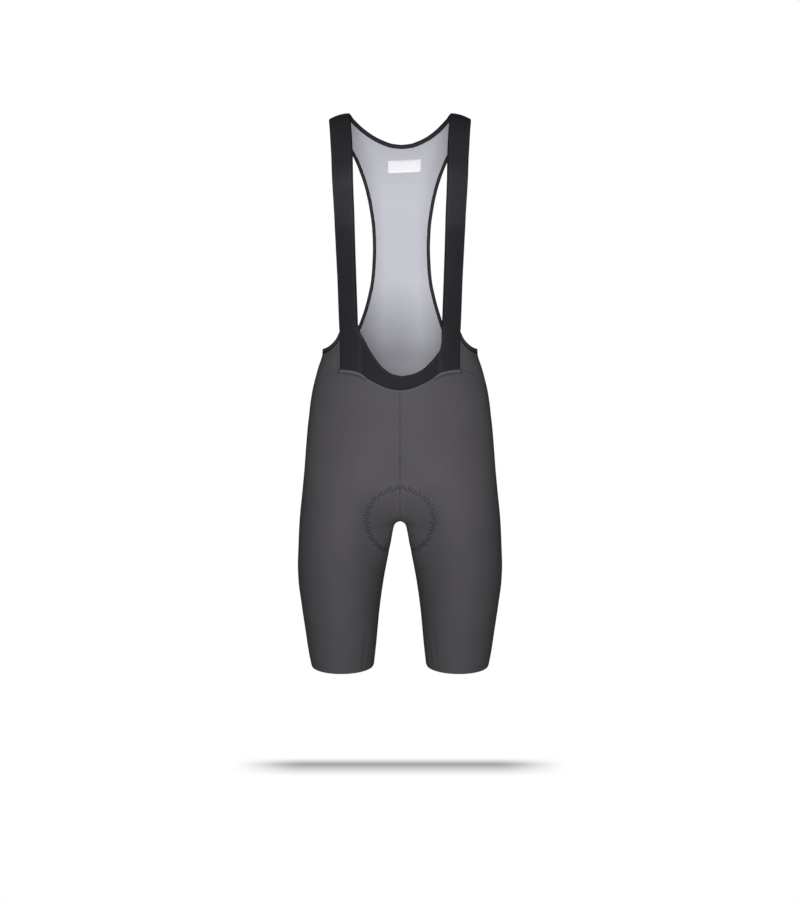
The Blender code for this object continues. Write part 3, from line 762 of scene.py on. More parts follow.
class Finish:
    """A Principled material; x, y, z are places in space and u, v along the cloth."""

    def __init__(self, name, roughness, specular=0.3, sheen=0, cloth=True):
        self.material = bpy.data.materials.new(name)
        self.material.use_nodes = True
        self.tree = self.material.node_tree
        self.shader = self.tree.nodes["Principled BSDF"]
        self.shader.inputs["Roughness"].default_value = roughness
        self.shader.inputs["Specular IOR Level"].default_value = specular
        self.shader.inputs["Sheen Weight"].default_value = sheen
        self.place = self.node("ShaderNodeTexCoord").outputs["Object"]
        self.x, self.y, self.z = self.parts(self.place)
        if cloth:
            self.cloth = self.node("ShaderNodeUVMap", uv_map="cloth").outputs["UV"]
            self.u, self.v, _ = self.parts(self.cloth)

    def node(self, kind, **settings):
        made = self.tree.nodes.new(kind)
        for key, value in settings.items():
            setattr(made, key, value)
        return made

    def put(self, value, socket):
        """Links a value or an output to a socket, or sets a number on it."""
        if isinstance(value, (int, float)):
            socket.default_value = value
        else:
            self.tree.links.new(value.socket if isinstance(value, Value) else value, socket)

    def parts(self, vector):
        """The three numbers of a vector."""
        made = self.node("ShaderNodeSeparateXYZ")
        self.put(vector, made.inputs[0])
        return [Value(self, output) / MM for output in made.outputs]

    def math(self, operation, first, second):
        made = self.node("ShaderNodeMath", operation=operation)
        self.put(first, made.inputs[0])
        self.put(second, made.inputs[1])
        return Value(self, made.outputs[0])

    def mix(self, share, first, second):
        """A shader that goes from the first node's to the second's."""
        made = self.node("ShaderNodeMixShader")
        for value, socket in zip((share, first.outputs[0], second.outputs[0]), made.inputs):
            self.put(value, socket)
        return made

    def wave(self, coordinate, pitch):
        """A wave from 0 to 1."""
        return (coordinate * (2 * math.pi / pitch)).math("SINE") * 0.5 + 0.5

    def knit(self, wale, course):
        """Height of a plain knit: columns of stitches this wide, in rows this high."""
        return self.wave(self.u, wale) * 0.65 + self.wave(self.v, course) * 0.35

    def noise(self, size, low, high, detail=2, stretch=(1, 1, 1), vector=None):
        """Noise whose features are about this large, from low to high."""
        scaled = self.node("ShaderNodeMapping")
        self.put(vector or self.cloth, scaled.inputs["Vector"])
        scaled.inputs["Scale"].default_value = stretch
        made = self.node("ShaderNodeTexNoise")
        self.put(scaled.outputs[0], made.inputs["Vector"])
        made.inputs["Scale"].default_value = 1 / (size * MM)
        made.inputs["Detail"].default_value = detail
        return Value(self, made.outputs["Fac"]).ramp(low, high, 0.3, 0.7)

    def colour(self, base, shade):
        """Base colour times a shade that varies over the cloth."""
        made = self.node("ShaderNodeVectorMath", operation="SCALE")
        made.inputs[0].default_value = linear(base)
        self.put(shade, made.inputs["Scale"])
        self.put(made.outputs[0], self.shader.inputs["Base Color"])

    def bump(self, height, distance, strength=0.5):
        """Raises the surface by a height; gives the material."""
        made = self.node("ShaderNodeBump")
        made.inputs["Distance"].default_value = distance * MM
        made.inputs["Strength"].default_value = strength
        self.put(height, made.inputs["Height"])
        self.put(made.outputs[0], self.shader.inputs["Normal"])
        return self.material


def pad_tone_and_painted_light(made):
    """A little darker inside the pad's outline; a painted highlight makes the front of the crotch paler,
    and painted shade darkens a line along the centre seam in front.
    """
    share = made.y.ramp(0, 1, -PAD_CUTTER / MM, PAD_CUTTER / MM)
    top, bottom, wide, middle = [
        share * (back - front) + front for front, back in zip(PAD_FRONT, PAD_BACK)]
    up = made.z - middle
    above = up.math("MAXIMUM") / (top - middle)
    below = up.math("MINIMUM") / (bottom - middle)
    power = up.math("GREATER_THAN") * (2 - PAD_TAPER) + PAD_TAPER
    spread = abs(made.x / wide) ** power + (above + below) ** power
    rise = (made.z - CROTCH / MM) * 0.6
    away = (made.x * made.x + rise * rise) ** 0.5
    # Painted highlight: paler towards the crotch's apex, most in front.
    painted_highlight = away.ramp(1, 0, 4, 66) ** 1.5 * made.y.ramp(1.4, 0, 0, 30)
    # Painted shade: a darker line along the centre seam, in front below the hips.
    centre = abs(made.x).ramp(0.16, 0, 0.7, 1.7) * made.z.ramp(1, 0, -620, -580) * made.y.ramp(1, 0, -20, 0)
    return spread.ramp(0.9, 1, 0.8, 1.05) * (painted_highlight + 1) * (1 - centre)


def waist_painted_light(made):
    """Painted light along the waist seam: a painted highlight on the cut edge just below it, weaker at the
    sides; painted shade right under the seam, more at the sides, in the groove of the stitches under the
    horns, and beside the bar tack.
    """
    down = made.v
    turn = made.u * (180 * MM / LEG_GIRTH)
    horn = turn.strip(HORN_START - 2, HORN_START + 2, HORN_TURN - 6, HORN_TURN + 0.4)
    side = turn.ramp(0, 1, HORN_TURN - 2, HORN_TURN + 4)
    # Painted shade right under the seam.
    shadow = down.ramp(0.34, 0, 1, 1.8) * side.ramp(1, 1.5)
    # Painted highlight along the cut edge.
    edge = down.strip(1.4, 2, 2.8, 3.6, height=0.5) * side.ramp(1, 0.3)
    # Painted shade in the groove of the stitches under the horns.
    groove = down.strip(6, 6.6, 7.6, 8.4, height=0.45) * horn
    # Painted shadow beside the bar tack.
    tack = down.ramp(0.5, 0, 5, 13) * turn.strip(
        HORN_TURN - 0.6, HORN_TURN - 0.1, HORN_TURN + 0.5, HORN_TURN + 1)
    return edge + 1 - shadow - groove - tack


def lycra_finish():
    """Semi-matte knitted lycra, with the soft patchiness of cloth under stretch, and painted light and
    shade over it.
    """
    made = Finish("lycra", 0.62, specular=0.12)
    cloth = made.knit(0.9, 0.8)
    patches = made.noise(70, 0.96, 1.04, vector=made.place)
    yarn = made.noise(1.6, 0.95, 1.05, 3, (1, 0.35, 1))
    # Painted shade: darker down the thighs, lighter over the hips.
    painted_light_falloff = made.z.ramp(0.92, 1.06, -750, -620)
    made.colour((77, 75, 77.5),
                patches * yarn * cloth.ramp(0.95, 1.04) * pad_tone_and_painted_light(made) * waist_painted_light(made) * painted_light_falloff)
    made.put(made.noise(30, 0.56, 0.68, vector=made.place), made.shader.inputs["Roughness"])
    return made.bump(cloth, 0.05)


def band_finish():
    """Matte knit with a folded rim: painted shade where the rim turns in at the scoop, the rest of the rim
    a little lighter; a painted highlight in a line beside the strap's end, which lies over it, and a little
    lighter from there out over the horns.
    """
    made = Finish("band", 0.8, specular=0.2)
    cloth = made.knit(0.8, 0.7)
    # Painted shade where the rim turns in at the scoop; the rest of the rim a little lighter.
    rim = made.v.ramp(0.55, 1, 0.8, 1.8) * made.v.ramp(1.45, 1, RIM / MM, RIM / MM + 0.6)
    across = abs(made.x)
    shade = made.noise(2, 0.92, 1.08, 3) * cloth.ramp(0.9, 1.08) * rim * across.ramp(1, 1.2, 60, 70.6)
    # Painted highlight in a line beside the strap's end.
    made.colour((32, 32, 35), across.strip(64.4, 65.2, 68.6, 69.8, height=0.4) + shade)
    return made.bump(cloth, 0.05)


def strap_finish():
    """Elastic webbing: fine ribs across, with a firm selvedge along both edges."""
    made = Finish("strap", 0.82, specular=0.12)
    ribs = made.wave(made.v, 1.5) * 0.7 + made.wave(made.u, 1.1) * 0.3
    half = STRAP_WIDTH / MM / 2
    from_edge = half - abs(made.u - half)
    selvedge = from_edge.ramp(0.6, 1, 1.6, 2.4)
    line = from_edge.strip(2.2, 3, 3.4, 4.4, height=0.2)
    yarn = made.noise(2.5, 0.9, 1.1, 3, (0.3, 1, 1))
    patches = made.noise(50, 0.9, 1.1, vector=made.place)
    # Painted sheen: a lighter zone across the strap, partway down the chest.
    painted_sheen = made.z.strip(-200, -182, -112, -85, height=0.5)
    made.colour((38, 38, 42), (yarn * ribs.ramp(0.86, 1.1) * selvedge + line) * patches * (painted_sheen + 1))
    return made.bump(ribs, 0.1)


def side_finish():
    made = Finish("side", 0.85, specular=0.2)
    cloth = made.knit(0.9, 0.8)
    # Painted shade: darker beside the seam with the band, and where the panel goes under its binding.
    strip = made.u.ramp(0.92, 1, 3.6, 5.2)
    bound = made.v.ramp(0.55, 1, TUCK / MM, TUCK / MM + 1.8)
    made.colour((80, 78, 81), made.noise(1.8, 0.93, 1.07, 3) * cloth.ramp(0.92, 1.06) * strip * bound)
    return made.bump(cloth, 0.05)


def mesh_finish():
    """Light knitted mesh: rows of small eyelets, each row shifted by half a stitch; painted shade darker
    towards the bottom and painted light low on the wearer's left.
    """
    made = Finish("mesh", 0.8, specular=0.25, sheen=0.05)
    row = made.v / EYELET[1]
    odd = row.math("FLOOR").math("FLOORED_MODULO", 2) * 0.5
    x = ((made.u / EYELET[0] + odd).math("FRACT") - 0.5) * EYELET[0]
    y = (row.math("FRACT") - 0.5) * (EYELET[1] * 1.5)
    net = ((x * x + y * y) ** 0.5).ramp(0, 1, EYELET[2] * 0.6, EYELET[2] * 1.4)
    courses = made.noise(2.4, 0.98, 1.02, 2, (0.2, 1, 1))
    # Painted shade: darker towards the bottom.
    foot = made.z.ramp(0.45, 1, -415, -285)
    # Painted light: lighter low on the wearer's left.
    left = made.x.ramp(0, 1, -10, 60) ** 1.5 * made.z.ramp(0.42, 0, -385, -250)
    made.colour((194, 194, 203), courses * net.ramp(0.74, 1.03) * foot * (left + 1))
    return made.bump(net, 0.12)


def binding_finish(name, middle):
    """Folded elastic: fine ribs across it; painted shade darkens its sewn edge, with the tone of its
    stitches, and the fold where it turns over.
    """
    made = Finish(name, 0.82, specular=0.12)
    ribs = made.wave(made.v, 1.1)
    # Painted light: the middle is lighter than the shaded sewn edge and fold.
    light = (made.u * MM).strip(0.2, 0.32, 0.72, 0.86, height=middle - 1) + 1
    made.colour((36, 36, 39.5), made.noise(1.5, 0.9, 1.1) * ribs.ramp(0.85, 1.1) * light)
    return made.bump(ribs, 0.07)


def pad_finish():
    made = Finish("pad", 0.9, specular=0.15, sheen=0.1)
    cloth = made.knit(1.2, 1.2)
    made.colour((40, 40, 43), made.noise(3, 0.85, 1.15, 3) * cloth.ramp(0.8, 1.1))
    return made.bump(cloth, 0.15, 0.6)


def label_finish():
    """Woven satin tape."""
    made = Finish("label", 0.45, specular=0.4)
    weave = made.wave(made.u, 0.5) * 0.4 + made.wave(made.v, 0.4) * 0.6
    made.colour((250, 250, 254), made.noise(2, 0.96, 1.02, 2, (0.2, 1, 1)) * weave.ramp(0.96, 1.02))
    return made.bump(weave, 0.04)


def thread_finish(name, colour):
    made = Finish(name, 0.5, specular=0.35, cloth=False)
    twist = made.noise(0.8, 0.8, 1.15, 1, vector=made.place)
    made.colour(colour, twist)
    return made.bump(twist, 0.1, 0.4)


RING = Sewing("stitches_pad", thread_finish("thread_ring", (49, 48, 50)), 0.42 * MM)
DARK = Sewing("stitches_dark", thread_finish("thread_dark", (40, 40, 42)), 0.2 * MM)
BLACK = Sewing("stitches_black", thread_finish("thread_black", (26, 26, 28)), 0.2 * MM)
PALE = Sewing("stitches_pale", thread_finish("thread_pale", (180, 180, 188)), 0.18 * MM)

# Length of a stitch and of the gap after it
SEAM_STITCH = (2.2 * MM, 0.7 * MM)
EDGE_STITCH = (2 * MM, 0.7 * MM)
RIM_STITCH = (2.2 * MM, 0.6 * MM)
NECK_STITCH = (2 * MM, 0.8 * MM)
LABEL_STITCH = (1.6 * MM, 0.6 * MM)
RING_STITCH = 6.4 * MM        # spacing of the slanted stitches round the pad, and how uneven they are
RING_UNEVEN = 0.18
TACK_STITCH = 0.8 * MM

# ---- Legs ----

LEG_PITCH = 2.9 * MM
HIP_ROWS = 30
RISE_ROWS = 44
THIGH_ROWS = 80
THIGH_CROWDING = 1.4
FLATTER = 0.8                 # how much flatter the centre seams are at the crotch, and where
FLATTER_HEIGHTS = (CROTCH - 60 * MM, CROTCH, CROTCH, CROTCH + 25 * MM)
CUT_WIDTH = 2 * MM            # step of the cut edge at the waist, how much wider under the horns
CUT_WIDER = 5 * MM
CUT_HEIGHT = 0.5 * MM
PAD_PUFF = 0.6 * MM           # how far the pad fills out the cloth over it, and over what width
PAD_SLOPE = 14 * MM
RING_GROOVE = 0.12 * MM       # depth of the groove that the pad's stitches pull in
RING_WIDTH = 4.5 * MM
RING_REACH = 5.6 * MM         # how far the pad's stitches reach to either side of its outline
RING_RAISED = 0.2 * MM
LINE_BELOW = 3.2 * MM         # how far below the waist seam its line of stitches lies
LINE_LOWER = 4.4 * MM         # and how much lower under the horns
TACK_HALF = 0.5               # half width of a bar tack (degrees)
# Ridges and grooves: distance from the edge, half width, height (mm)
CENTRE_SEAM = ((0, 1, -0.8), (3, 2, 0.25))
CUT_HEM = ((0, 1.2, -0.5),)


def leg_grid():
    """Outer points of the left leg, their normals and the row from which on it is a tube."""
    share = spaced(LEG_GIRTH, LEG_PITCH)
    top = smooth(WAIST_SEAM, 1, share * 180) * MM + LAP
    rows = [top - step for step in EDGE_STEPS]
    start = rows[-1]
    for part in np.linspace(0, 1, HIP_ROWS + 1)[1:]:
        rows.append((1 - part) * start + part * RISE_TOP)
    # rows of the rise are spaced so that the cloth between them is even, as it turns under
    rises = np.linspace(0, 1, 2000)
    turned = np.sin(0.5 * math.pi * np.linspace(0, 1, RISE_ROWS + 1)[1:])
    for rise in np.interp(turned, eased(rises, PARTING_END), rises):
        rows.append(np.full(len(share), RISE_TOP + rise * (CROTCH - RISE_TOP)))
    rows[-1] = np.full(len(share), CROTCH - 1e-9)
    ring_row = len(rows) - 1
    ahead = np.maximum(np.sin(2 * math.pi * share), 0)
    hem = HEM - HEM_DROP * ahead * (1.6 - 0.6 * ahead)
    end = hem + EDGE_STEPS[-1]
    for part in np.linspace(0, 1, THIGH_ROWS + 1)[1:]:
        rows.append(CROTCH + (end - CROTCH) * part ** THIGH_CROWDING)
    for step in EDGE_STEPS[-2::-1]:
        rows.append(hem + step)
    heights = np.array(rows)
    points = leg(np.broadcast_to(share, heights.shape), heights)
    return points, leg_normals(points), share, ring_row


def leg_relief(points, normals, share):
    """Seams, the pad's fullness and groove, the hem and soft creases."""
    down, up, front, back = edge_distances(points)
    turn = share * 180
    near_crotch = 1 - FLATTER * plateau(points[..., 2], *FLATTER_HEIGHTS)
    centre = ridges(front, CENTRE_SEAM) + ridges(back, CENTRE_SEAM)
    relief = centre * near_crotch + seam(down) + ridges(up, CUT_HEM)
    horn = plateau(turn, HORN_START - 2, HORN_START + 6, HORN_TURN - 1, HORN_TURN + 1)
    raised = CUT_HEIGHT * (1 - 0.5 * over(turn, HORN_TURN, HORN_TURN + 6))
    relief += allowance(down, CUT_WIDTH + CUT_WIDER * horn, raised)
    inside = inside_pad(points, normals)
    relief += PAD_PUFF * over(inside, 0, PAD_SLOPE)
    relief -= RING_GROOVE * hump(inside, 0, RING_WIDTH)
    return relief + troughs(points, LEG_CREASES)


def make_legs():
    """Both legs."""
    points, normals, share, ring_row = leg_grid()
    down = lengths_along(points[:, points.shape[1] // 2])
    uv = np.stack(np.meshgrid(share * LEG_GIRTH, down), axis=-1)
    outer = points + normals * leg_relief(points, normals, share)[..., None]
    outer[..., 0] -= LAP
    add_pair("leg", outer, normals, LYCRA, uv, lycra_finish(), ring_row)


def sew_legs():
    """The pad's ring of slanted stitches, the line under the waist seam and the bar tacks."""
    inner, outer = [moved(pad_path(side * RING_REACH), RING_RAISED) for side in (-1, 1)]
    RING.zigzag(inner, outer, RING_STITCH, RING_UNEVEN)
    turn = np.linspace(HORN_START - 6, HORN_TURN - 1, 200)
    below = LINE_BELOW + LINE_LOWER * over(turn, HORN_START - 2, HORN_START + 6)
    points = leg(turn / 180, smooth(WAIST_SEAM, 1, turn) * MM - below)
    DARK.row((points, leg_normals(points)), *SEAM_STITCH)
    tack = []
    for side in (-TACK_HALF, TACK_HALF):
        turn = np.full(9, HORN_TURN) + side
        heights = smooth(WAIST_SEAM, 1, HORN_TURN) * MM - np.linspace(1, 9, 9) * MM
        points = leg(turn / 180, heights)
        tack.append((points, leg_normals(points)))
    BLACK.zigzag(*tack, TACK_STITCH)


# ---- Straps ----

STRAP_PITCH = 1.4 * MM
STRAP_LAP = 0.6 * MM          # how far its end reaches under the band
STRAP_ROWS = (2.2 * MM, 9.5 * MM)             # rows of sewing above its end
# Ridges and grooves of its edges and its end: distance, half width, height (mm)
STRAP_SELVEDGE = ((0, 0.7, -0.5), (1.3, 0.8, 0.22), (2.7, 0.6, -0.18))
STRAP_END = ((0, 1.5, -1.1),)
# Gentle undulation of a strap: down from the crest, half length, height (mm)
STRAP_WAVES = (
    (45, 22, 0.5), (105, 26, -0.7), (170, 30, 0.8), (235, 24, -0.6), (300, 30, 0.5),
)


def strap_edge(column, corner):
    """One edge of the left strap as places."""
    end = spot(*corner)[1] + STRAP_LAP
    down = np.linspace(-STRAP_BEHIND, end, int(round((end + STRAP_BEHIND) / STRAP_PITCH)))
    drop = drop_of(np.abs(down))
    across = smooth(STRAP_EDGES, column, drop / MM) * MM
    return np.stack((np.degrees(np.arcsin(across / figure(CREST - drop)[0])), down), axis=1)


def make_straps():
    """Two elastic straps with firm edges, and the rows of sewing at their lower ends."""
    inner = strap_edge(1, HORN_INNER)
    outer = strap_edge(2, HORN_OUTER)
    index = np.linspace(0, 1, len(inner))
    outer = np.column_stack([np.interp(index, np.linspace(0, 1, len(outer)), outer[:, c]) for c in (0, 1)])
    places = ribbon(inner, outer, spaced(STRAP_WIDTH, STRAP_PITCH)).transpose(1, 0, 2)
    points, normals = surface(places)
    _, bottom, first, last = edge_distances(points)
    edge = np.minimum(first, last)
    relief = ridges(edge, STRAP_SELVEDGE) + ridges(bottom, STRAP_END)
    relief += ridges(places[..., 1], STRAP_WAVES)
    outer = points + normals * relief[..., None]
    uv = np.stack(np.meshgrid(spaced(STRAP_WIDTH, STRAP_PITCH) * STRAP_WIDTH,
                              lengths_along(points[:, 0])), axis=-1)
    add_pair("strap", outer, normals, STRAP, uv, strap_finish())
    for distance in STRAP_ROWS:
        BLACK.row(grid_line(outer, normals, distance, "last row"), *EDGE_STITCH)


# ---- Front band ----

STRAP_STEP = 71 * MM          # distance across at which the strap's end lies under the band
STRAP_STEP_HEIGHT = 0.45 * MM
RIM_HEIGHT = 0.35 * MM
# Turn and groove of the rim: distance from the scoop, half width, height (mm)
BAND_RIM = ((0, 0.9, -0.7), (4.1, 0.7, -0.25))
BAND_GRID = (40 * MM, 0.9 * MM)               # depth of the band and pitch of its points


def make_band():
    """The scooped front band with its two horns, and its rim's sewing."""
    scoops = []
    outsides = []
    for column, sign in ((1, -1), (2, 1)):
        places = [spot(sign * row[column], row[0]) for row in SCOOP]
        places.append(spot(*SCOOP_BOTTOM))
        scoops.append(through(places, (FRONT_STEPS + HORN_STEPS) * FINER))
        foot = waist(np.linspace(HORN_TURN, 0, FRONT_STEPS * FINER + 1)) * np.array((sign, 1))
        corner = spot(sign * HORN_OUTER[0], HORN_OUTER[1])
        line = between(corner, foot[0], HORN_STEPS * FINER)
        line[1:-1, 0] = sign * horn_line(line[1:-1, 1])
        outsides.append(np.concatenate((line, foot[1:])))
    scoop = np.concatenate((scoops[0], scoops[1][::-1][1:]))
    outside = np.concatenate((outsides[0], outsides[1][::-1][1:]))
    places = ribbon(scoop, outside, spaced(*BAND_GRID))
    points, normals = surface(places)
    rim, foot, first, last = edge_distances(points)
    relief = ridges(rim, BAND_RIM) + seam(foot) + seam(first) + seam(last)
    relief += RIM_HEIGHT * (1 - over(rim, RIM - 0.4 * MM, RIM + 0.5 * MM))
    across = np.abs(points[..., 0])
    over_strap = over(across, STRAP_STEP - 0.8 * MM, STRAP_STEP + 0.8 * MM)
    relief += STRAP_STEP_HEIGHT * over_strap * over(rim, RIM, RIM + 4 * MM)
    outer = points + normals * relief[..., None]
    uv = np.stack((grid_uv(points)[..., 0], rim), axis=-1)
    add_shell("cloth_front_band", outer, normals, BAND, uv, band_finish(), ["front_band"])
    BLACK.row(grid_line(outer, normals, RIM + 0.4 * MM, "first row"), *RIM_STITCH, twice=False)


# ---- Bindings, side panels and back ----

PROUD = 0.4 * MM              # how far a binding stands over its panel, and its whole depth
DEPTH = 2.2 * MM
TOP = 0.47 * MM               # height of its highest line
SEWN_IN = 1.5 * MM            # how far its stitches lie from its sewn edge
# Section of a binding's outer layer: distance from its sewn edge, height over the panel (mm)
BINDING_SECTION = (
    (0, 0.05), (0.15, 0.3), (0.5, 0.42), (1.2, 0.46), (2.2, 0.47), (3.4, 0.45),
)
TIP_DOWN = STRAP_BEHIND - LAP
SIDE_GRID = (70 * MM, 1.8 * MM)               # size of a panel and pitch of its points
BACK_GRID = (110 * MM, 1.8 * MM)
SIDE_ALLOWANCES = ((4 * MM, 0.4 * MM), (4 * MM, 0.3 * MM))        # width and height, front and back
BACK_ALLOWANCE = (5 * MM, 0.3 * MM)
SIDE_LINE = 3.4 * MM          # how far the side's stitches lie behind the band
NECK_LINE = 2.6 * MM          # how far the mesh's stitches lie below the neck's binding
FOLD_ANGLES = np.radians(np.linspace(90, 270, 13))


def add_binding(name, outer, inner, widths, light, twice=True):
    """A binding folded over an edge, painted this much lighter in its middle than at its shaded edges, with
    a row of stitches on each face.
    """

    def across(distance, height):
        places = outer + (inner - outer) * (distance / widths)[:, None]
        directions = body_normals(places)
        return body(places) + directions * height, directions

    radius = DEPTH / 2
    rows = [across(widths - back * MM, height * MM)[0] for back, height in BINDING_SECTION]
    for angle in FOLD_ANGLES:
        distance = np.full(len(outer), radius * (1 + math.cos(angle)))
        rows.append(across(distance, PROUD - radius + radius * math.sin(angle))[0])
    for back, height in BINDING_SECTION[::-1]:
        rows.append(across(widths - back * MM, 2 * PROUD - DEPTH - height * MM)[0])
    grid = np.array(rows)
    normals = unit(np.cross(np.gradient(grid, axis=0), np.gradient(grid, axis=1)))
    if np.sum(normals[2] * body_normals(outer)) < 0:
        normals = -normals
    face = np.array([back * MM for back, _ in BINDING_SECTION])[:, None] / widths.max()
    fold = 1 - 2 * face[-1] + np.zeros(len(FOLD_ANGLES))[:, None]
    shares = np.concatenate((face, np.maximum(fold, 0.9), face[::-1]))
    uv = np.stack((np.broadcast_to(shares, grid.shape[:2]),
                   np.broadcast_to(lengths_along(grid[0]), grid.shape[:2])), axis=-1)
    finish = binding_finish(name, light)
    if twice:
        add_pair(name, grid, normals, BINDING, uv, finish)
    else:
        add_shell("cloth_" + name, grid, normals, BINDING, uv, finish, [name])
    for height, sign in ((TOP, 1), (2 * PROUD - DEPTH - TOP, -1)):
        line, directions = across(widths - SEWN_IN, height)
        BLACK.row((line, directions * sign), *EDGE_STITCH, twice)


def trimmed(curve, first_turn, last_down):
    """Bring a curve's first place to a turn and its last to a length down."""
    curve = curve.copy()
    slope = (curve[1, 1] - curve[0, 1]) / (curve[1, 0] - curve[0, 0])
    curve[0] = (first_turn, curve[0, 1] + slope * (first_turn - curve[0, 0]))
    lean = (curve[-1, 0] - curve[-2, 0]) / (curve[-1, 1] - curve[-2, 1])
    curve[-1] = (curve[-1, 0] + lean * (last_down - curve[-1, 1]), last_down)
    return curve


def horn_line(down):
    """Turn of the band's outer edge at a length down."""
    height = (CREST - drop_of(down)) / MM
    part = (height - HORN_OUTER[1]) / (smooth(WAIST_SEAM, 1, HORN_TURN) - HORN_OUTER[1])
    return spot((1 - part) * HORN_OUTER[0] + part * HORN_FOOT, height)[..., 0]


def tip(across):
    """The place of a corner of the back panel under the strap's end."""
    return np.array((180 - math.degrees(math.asin(across * MM / figure(CREST)[0])), TIP_DOWN))


def armhole():
    """The left armhole: edge of its binding, the binding's own edge and its width."""
    places = [level(turn, height) for turn, height in ARMHOLE_SIDE]
    places += [spot(across, height, back=True) for across, height in ARMHOLE_BACK]
    places.append(tip(TIP_OUTER))
    outer = through(places, ARMHOLE_STEPS)
    widths = np.interp(outer[:, 0], NARROWING, (SIDE_BINDING, BACK_BINDING))
    curves = [trimmed(curve, horn_line(curve[0, 1]), TIP_DOWN)
              for curve in (outer, inset(outer, -widths), inset(outer, -(widths - TUCK)))]
    widths = np.interp(np.linspace(0, 1, ARMHOLE_STEPS * FINER + 1),
                       np.linspace(0, 1, ARMHOLE_STEPS + 1), widths)
    return [finer(curve) for curve in curves], widths


def tucked(distance):
    """Relief of a panel where it lies inside its binding."""
    return -0.2 * MM * (1 - over(distance, TUCK - 0.3 * MM, TUCK + 0.7 * MM))


def make_sides(edge):
    """Two side panels between the band and the back."""
    top = edge[:SIDE_STEPS * FINER + 1]
    turns = np.linspace(horn_line(waist(HORN_TURN)[1]), BACK_TURN, len(top))
    places = ribbon(top, waist(turns), spaced(*SIDE_GRID))
    bow = horn_line(places[:, 0, 1]) - places[:, 0, 0]
    places[..., 0] += bow[:, None] * (1 - np.linspace(0, 1, len(top)))
    points, normals = surface(places)
    bound, foot, front, back = edge_distances(points)
    relief = seam(foot, 0.9 * MM) + seam(front) + seam(back) + tucked(bound)
    relief += allowance(front, *SIDE_ALLOWANCES[0]) + allowance(back, *SIDE_ALLOWANCES[1])
    outer = points + normals * relief[..., None]
    uv = np.stack((front, bound), axis=-1)
    add_pair("side_panel", outer, normals, SIDE, uv, side_finish())
    line = grid_line(outer, normals, SIDE_LINE, "first column")
    DARK.row([rows[FINER // 2:] for rows in line], *SEAM_STITCH)


def neck():
    """Left half of the neck: edge of its binding, the binding's own edge and the panel's edge."""
    places = [spot(across, height, back=True) for across, height in NECK]
    places.append(tip(TIP_INNER))
    outer = through(places, NECK_STEPS)
    curves = [outer]
    for distance in (NECK_BINDING, NECK_BINDING - TUCK):
        curve = inset(outer, distance)
        curve[0, 0] = 180
        curves.append(trimmed(curve, 180, TIP_DOWN))
    return [finer(curve) for curve in curves]


def whole_neck(curve):
    """A neck curve with its mirror image, from the wearer's right shoulder to the left."""
    other = curve * np.array((-1, 1)) + np.array((360, 0))
    return np.concatenate((other[::-1], curve[1:]))


def make_back(edge, hem):
    """The mesh back panel, in one piece from the waist seam up to the two shoulder tips."""
    seam_steps = SEAM_STEPS * FINER
    side = np.concatenate((between(waist(BACK_TURN), edge[0], seam_steps)[:-1], edge))
    middle_steps = len(side) - len(hem)
    middle = np.concatenate((between(waist(180), hem[0], middle_steps)[:-1], hem))
    places = ribbon(middle, side, spaced(*BACK_GRID))
    places[:, 0] = waist(places[:, 0, 0])
    points, normals = surface(places)
    points[0, :middle_steps + 1, 0] = 0
    normals[0, :middle_steps + 1, 0] = 0
    _, bound, foot, _ = edge_distances(points)
    relief = seam(foot) + allowance(foot, *BACK_ALLOWANCE) + tucked(bound)
    outer = points + normals * relief[..., None]
    uv = np.stack((points[..., 0], -points[..., 2]), axis=-1)
    add_shell("cloth_back_panel", outer, unit(normals), MESH, uv, mesh_finish(), ["back_panel"],
              joined=middle_steps + 1)


def make_upper():
    """Side panels, back panel and the bindings of their edges."""
    (outer, inner, edge), widths = armhole()
    add_binding("armhole_binding", outer, inner, widths, 2.3)
    make_sides(edge)
    neck_outer, neck_inner, hem = neck()
    widths = np.full(2 * len(neck_outer) - 1, NECK_BINDING)
    add_binding("neck_binding", whole_neck(neck_outer), whole_neck(neck_inner), widths, 2, twice=False)
    make_back(edge[SIDE_STEPS * FINER:], hem)
    below = surface(inset(whole_neck(neck_inner), -NECK_LINE))
    PALE.row(underside(below, MESH), *NECK_STITCH, twice=False)


# ---- Pad and label ----

PAD_STATIONS = 160
PAD_LATERAL = 40
PAD_UNDER = 2 * MM            # the pad's outer face lies this far inside the legs' outer face
PAD_EDGE = 1.2 * MM           # thickness of the pad at its edge and in its middle
PAD_MIDDLE = 5.6 * MM
CHANNELS = (0, 0.42)          # quilting channels, as shares of the way from the middle to the edge
CHANNEL_DEPTH = 1.8 * MM
CHANNEL_WIDTH = 0.04
LABEL_LINE = 1.6 * MM         # how far the label's stitches lie from its ends


def centre_heights(top, share, parts):
    """Heights along the centre plane from a height down to the crotch, at parts of the way."""
    heights = CROTCH + (top - CROTCH) * np.linspace(1, 0, 400) ** 2
    lengths = lengths_along(leg(np.full(len(heights), share), heights))
    return np.interp(parts * lengths[-1], lengths, heights)


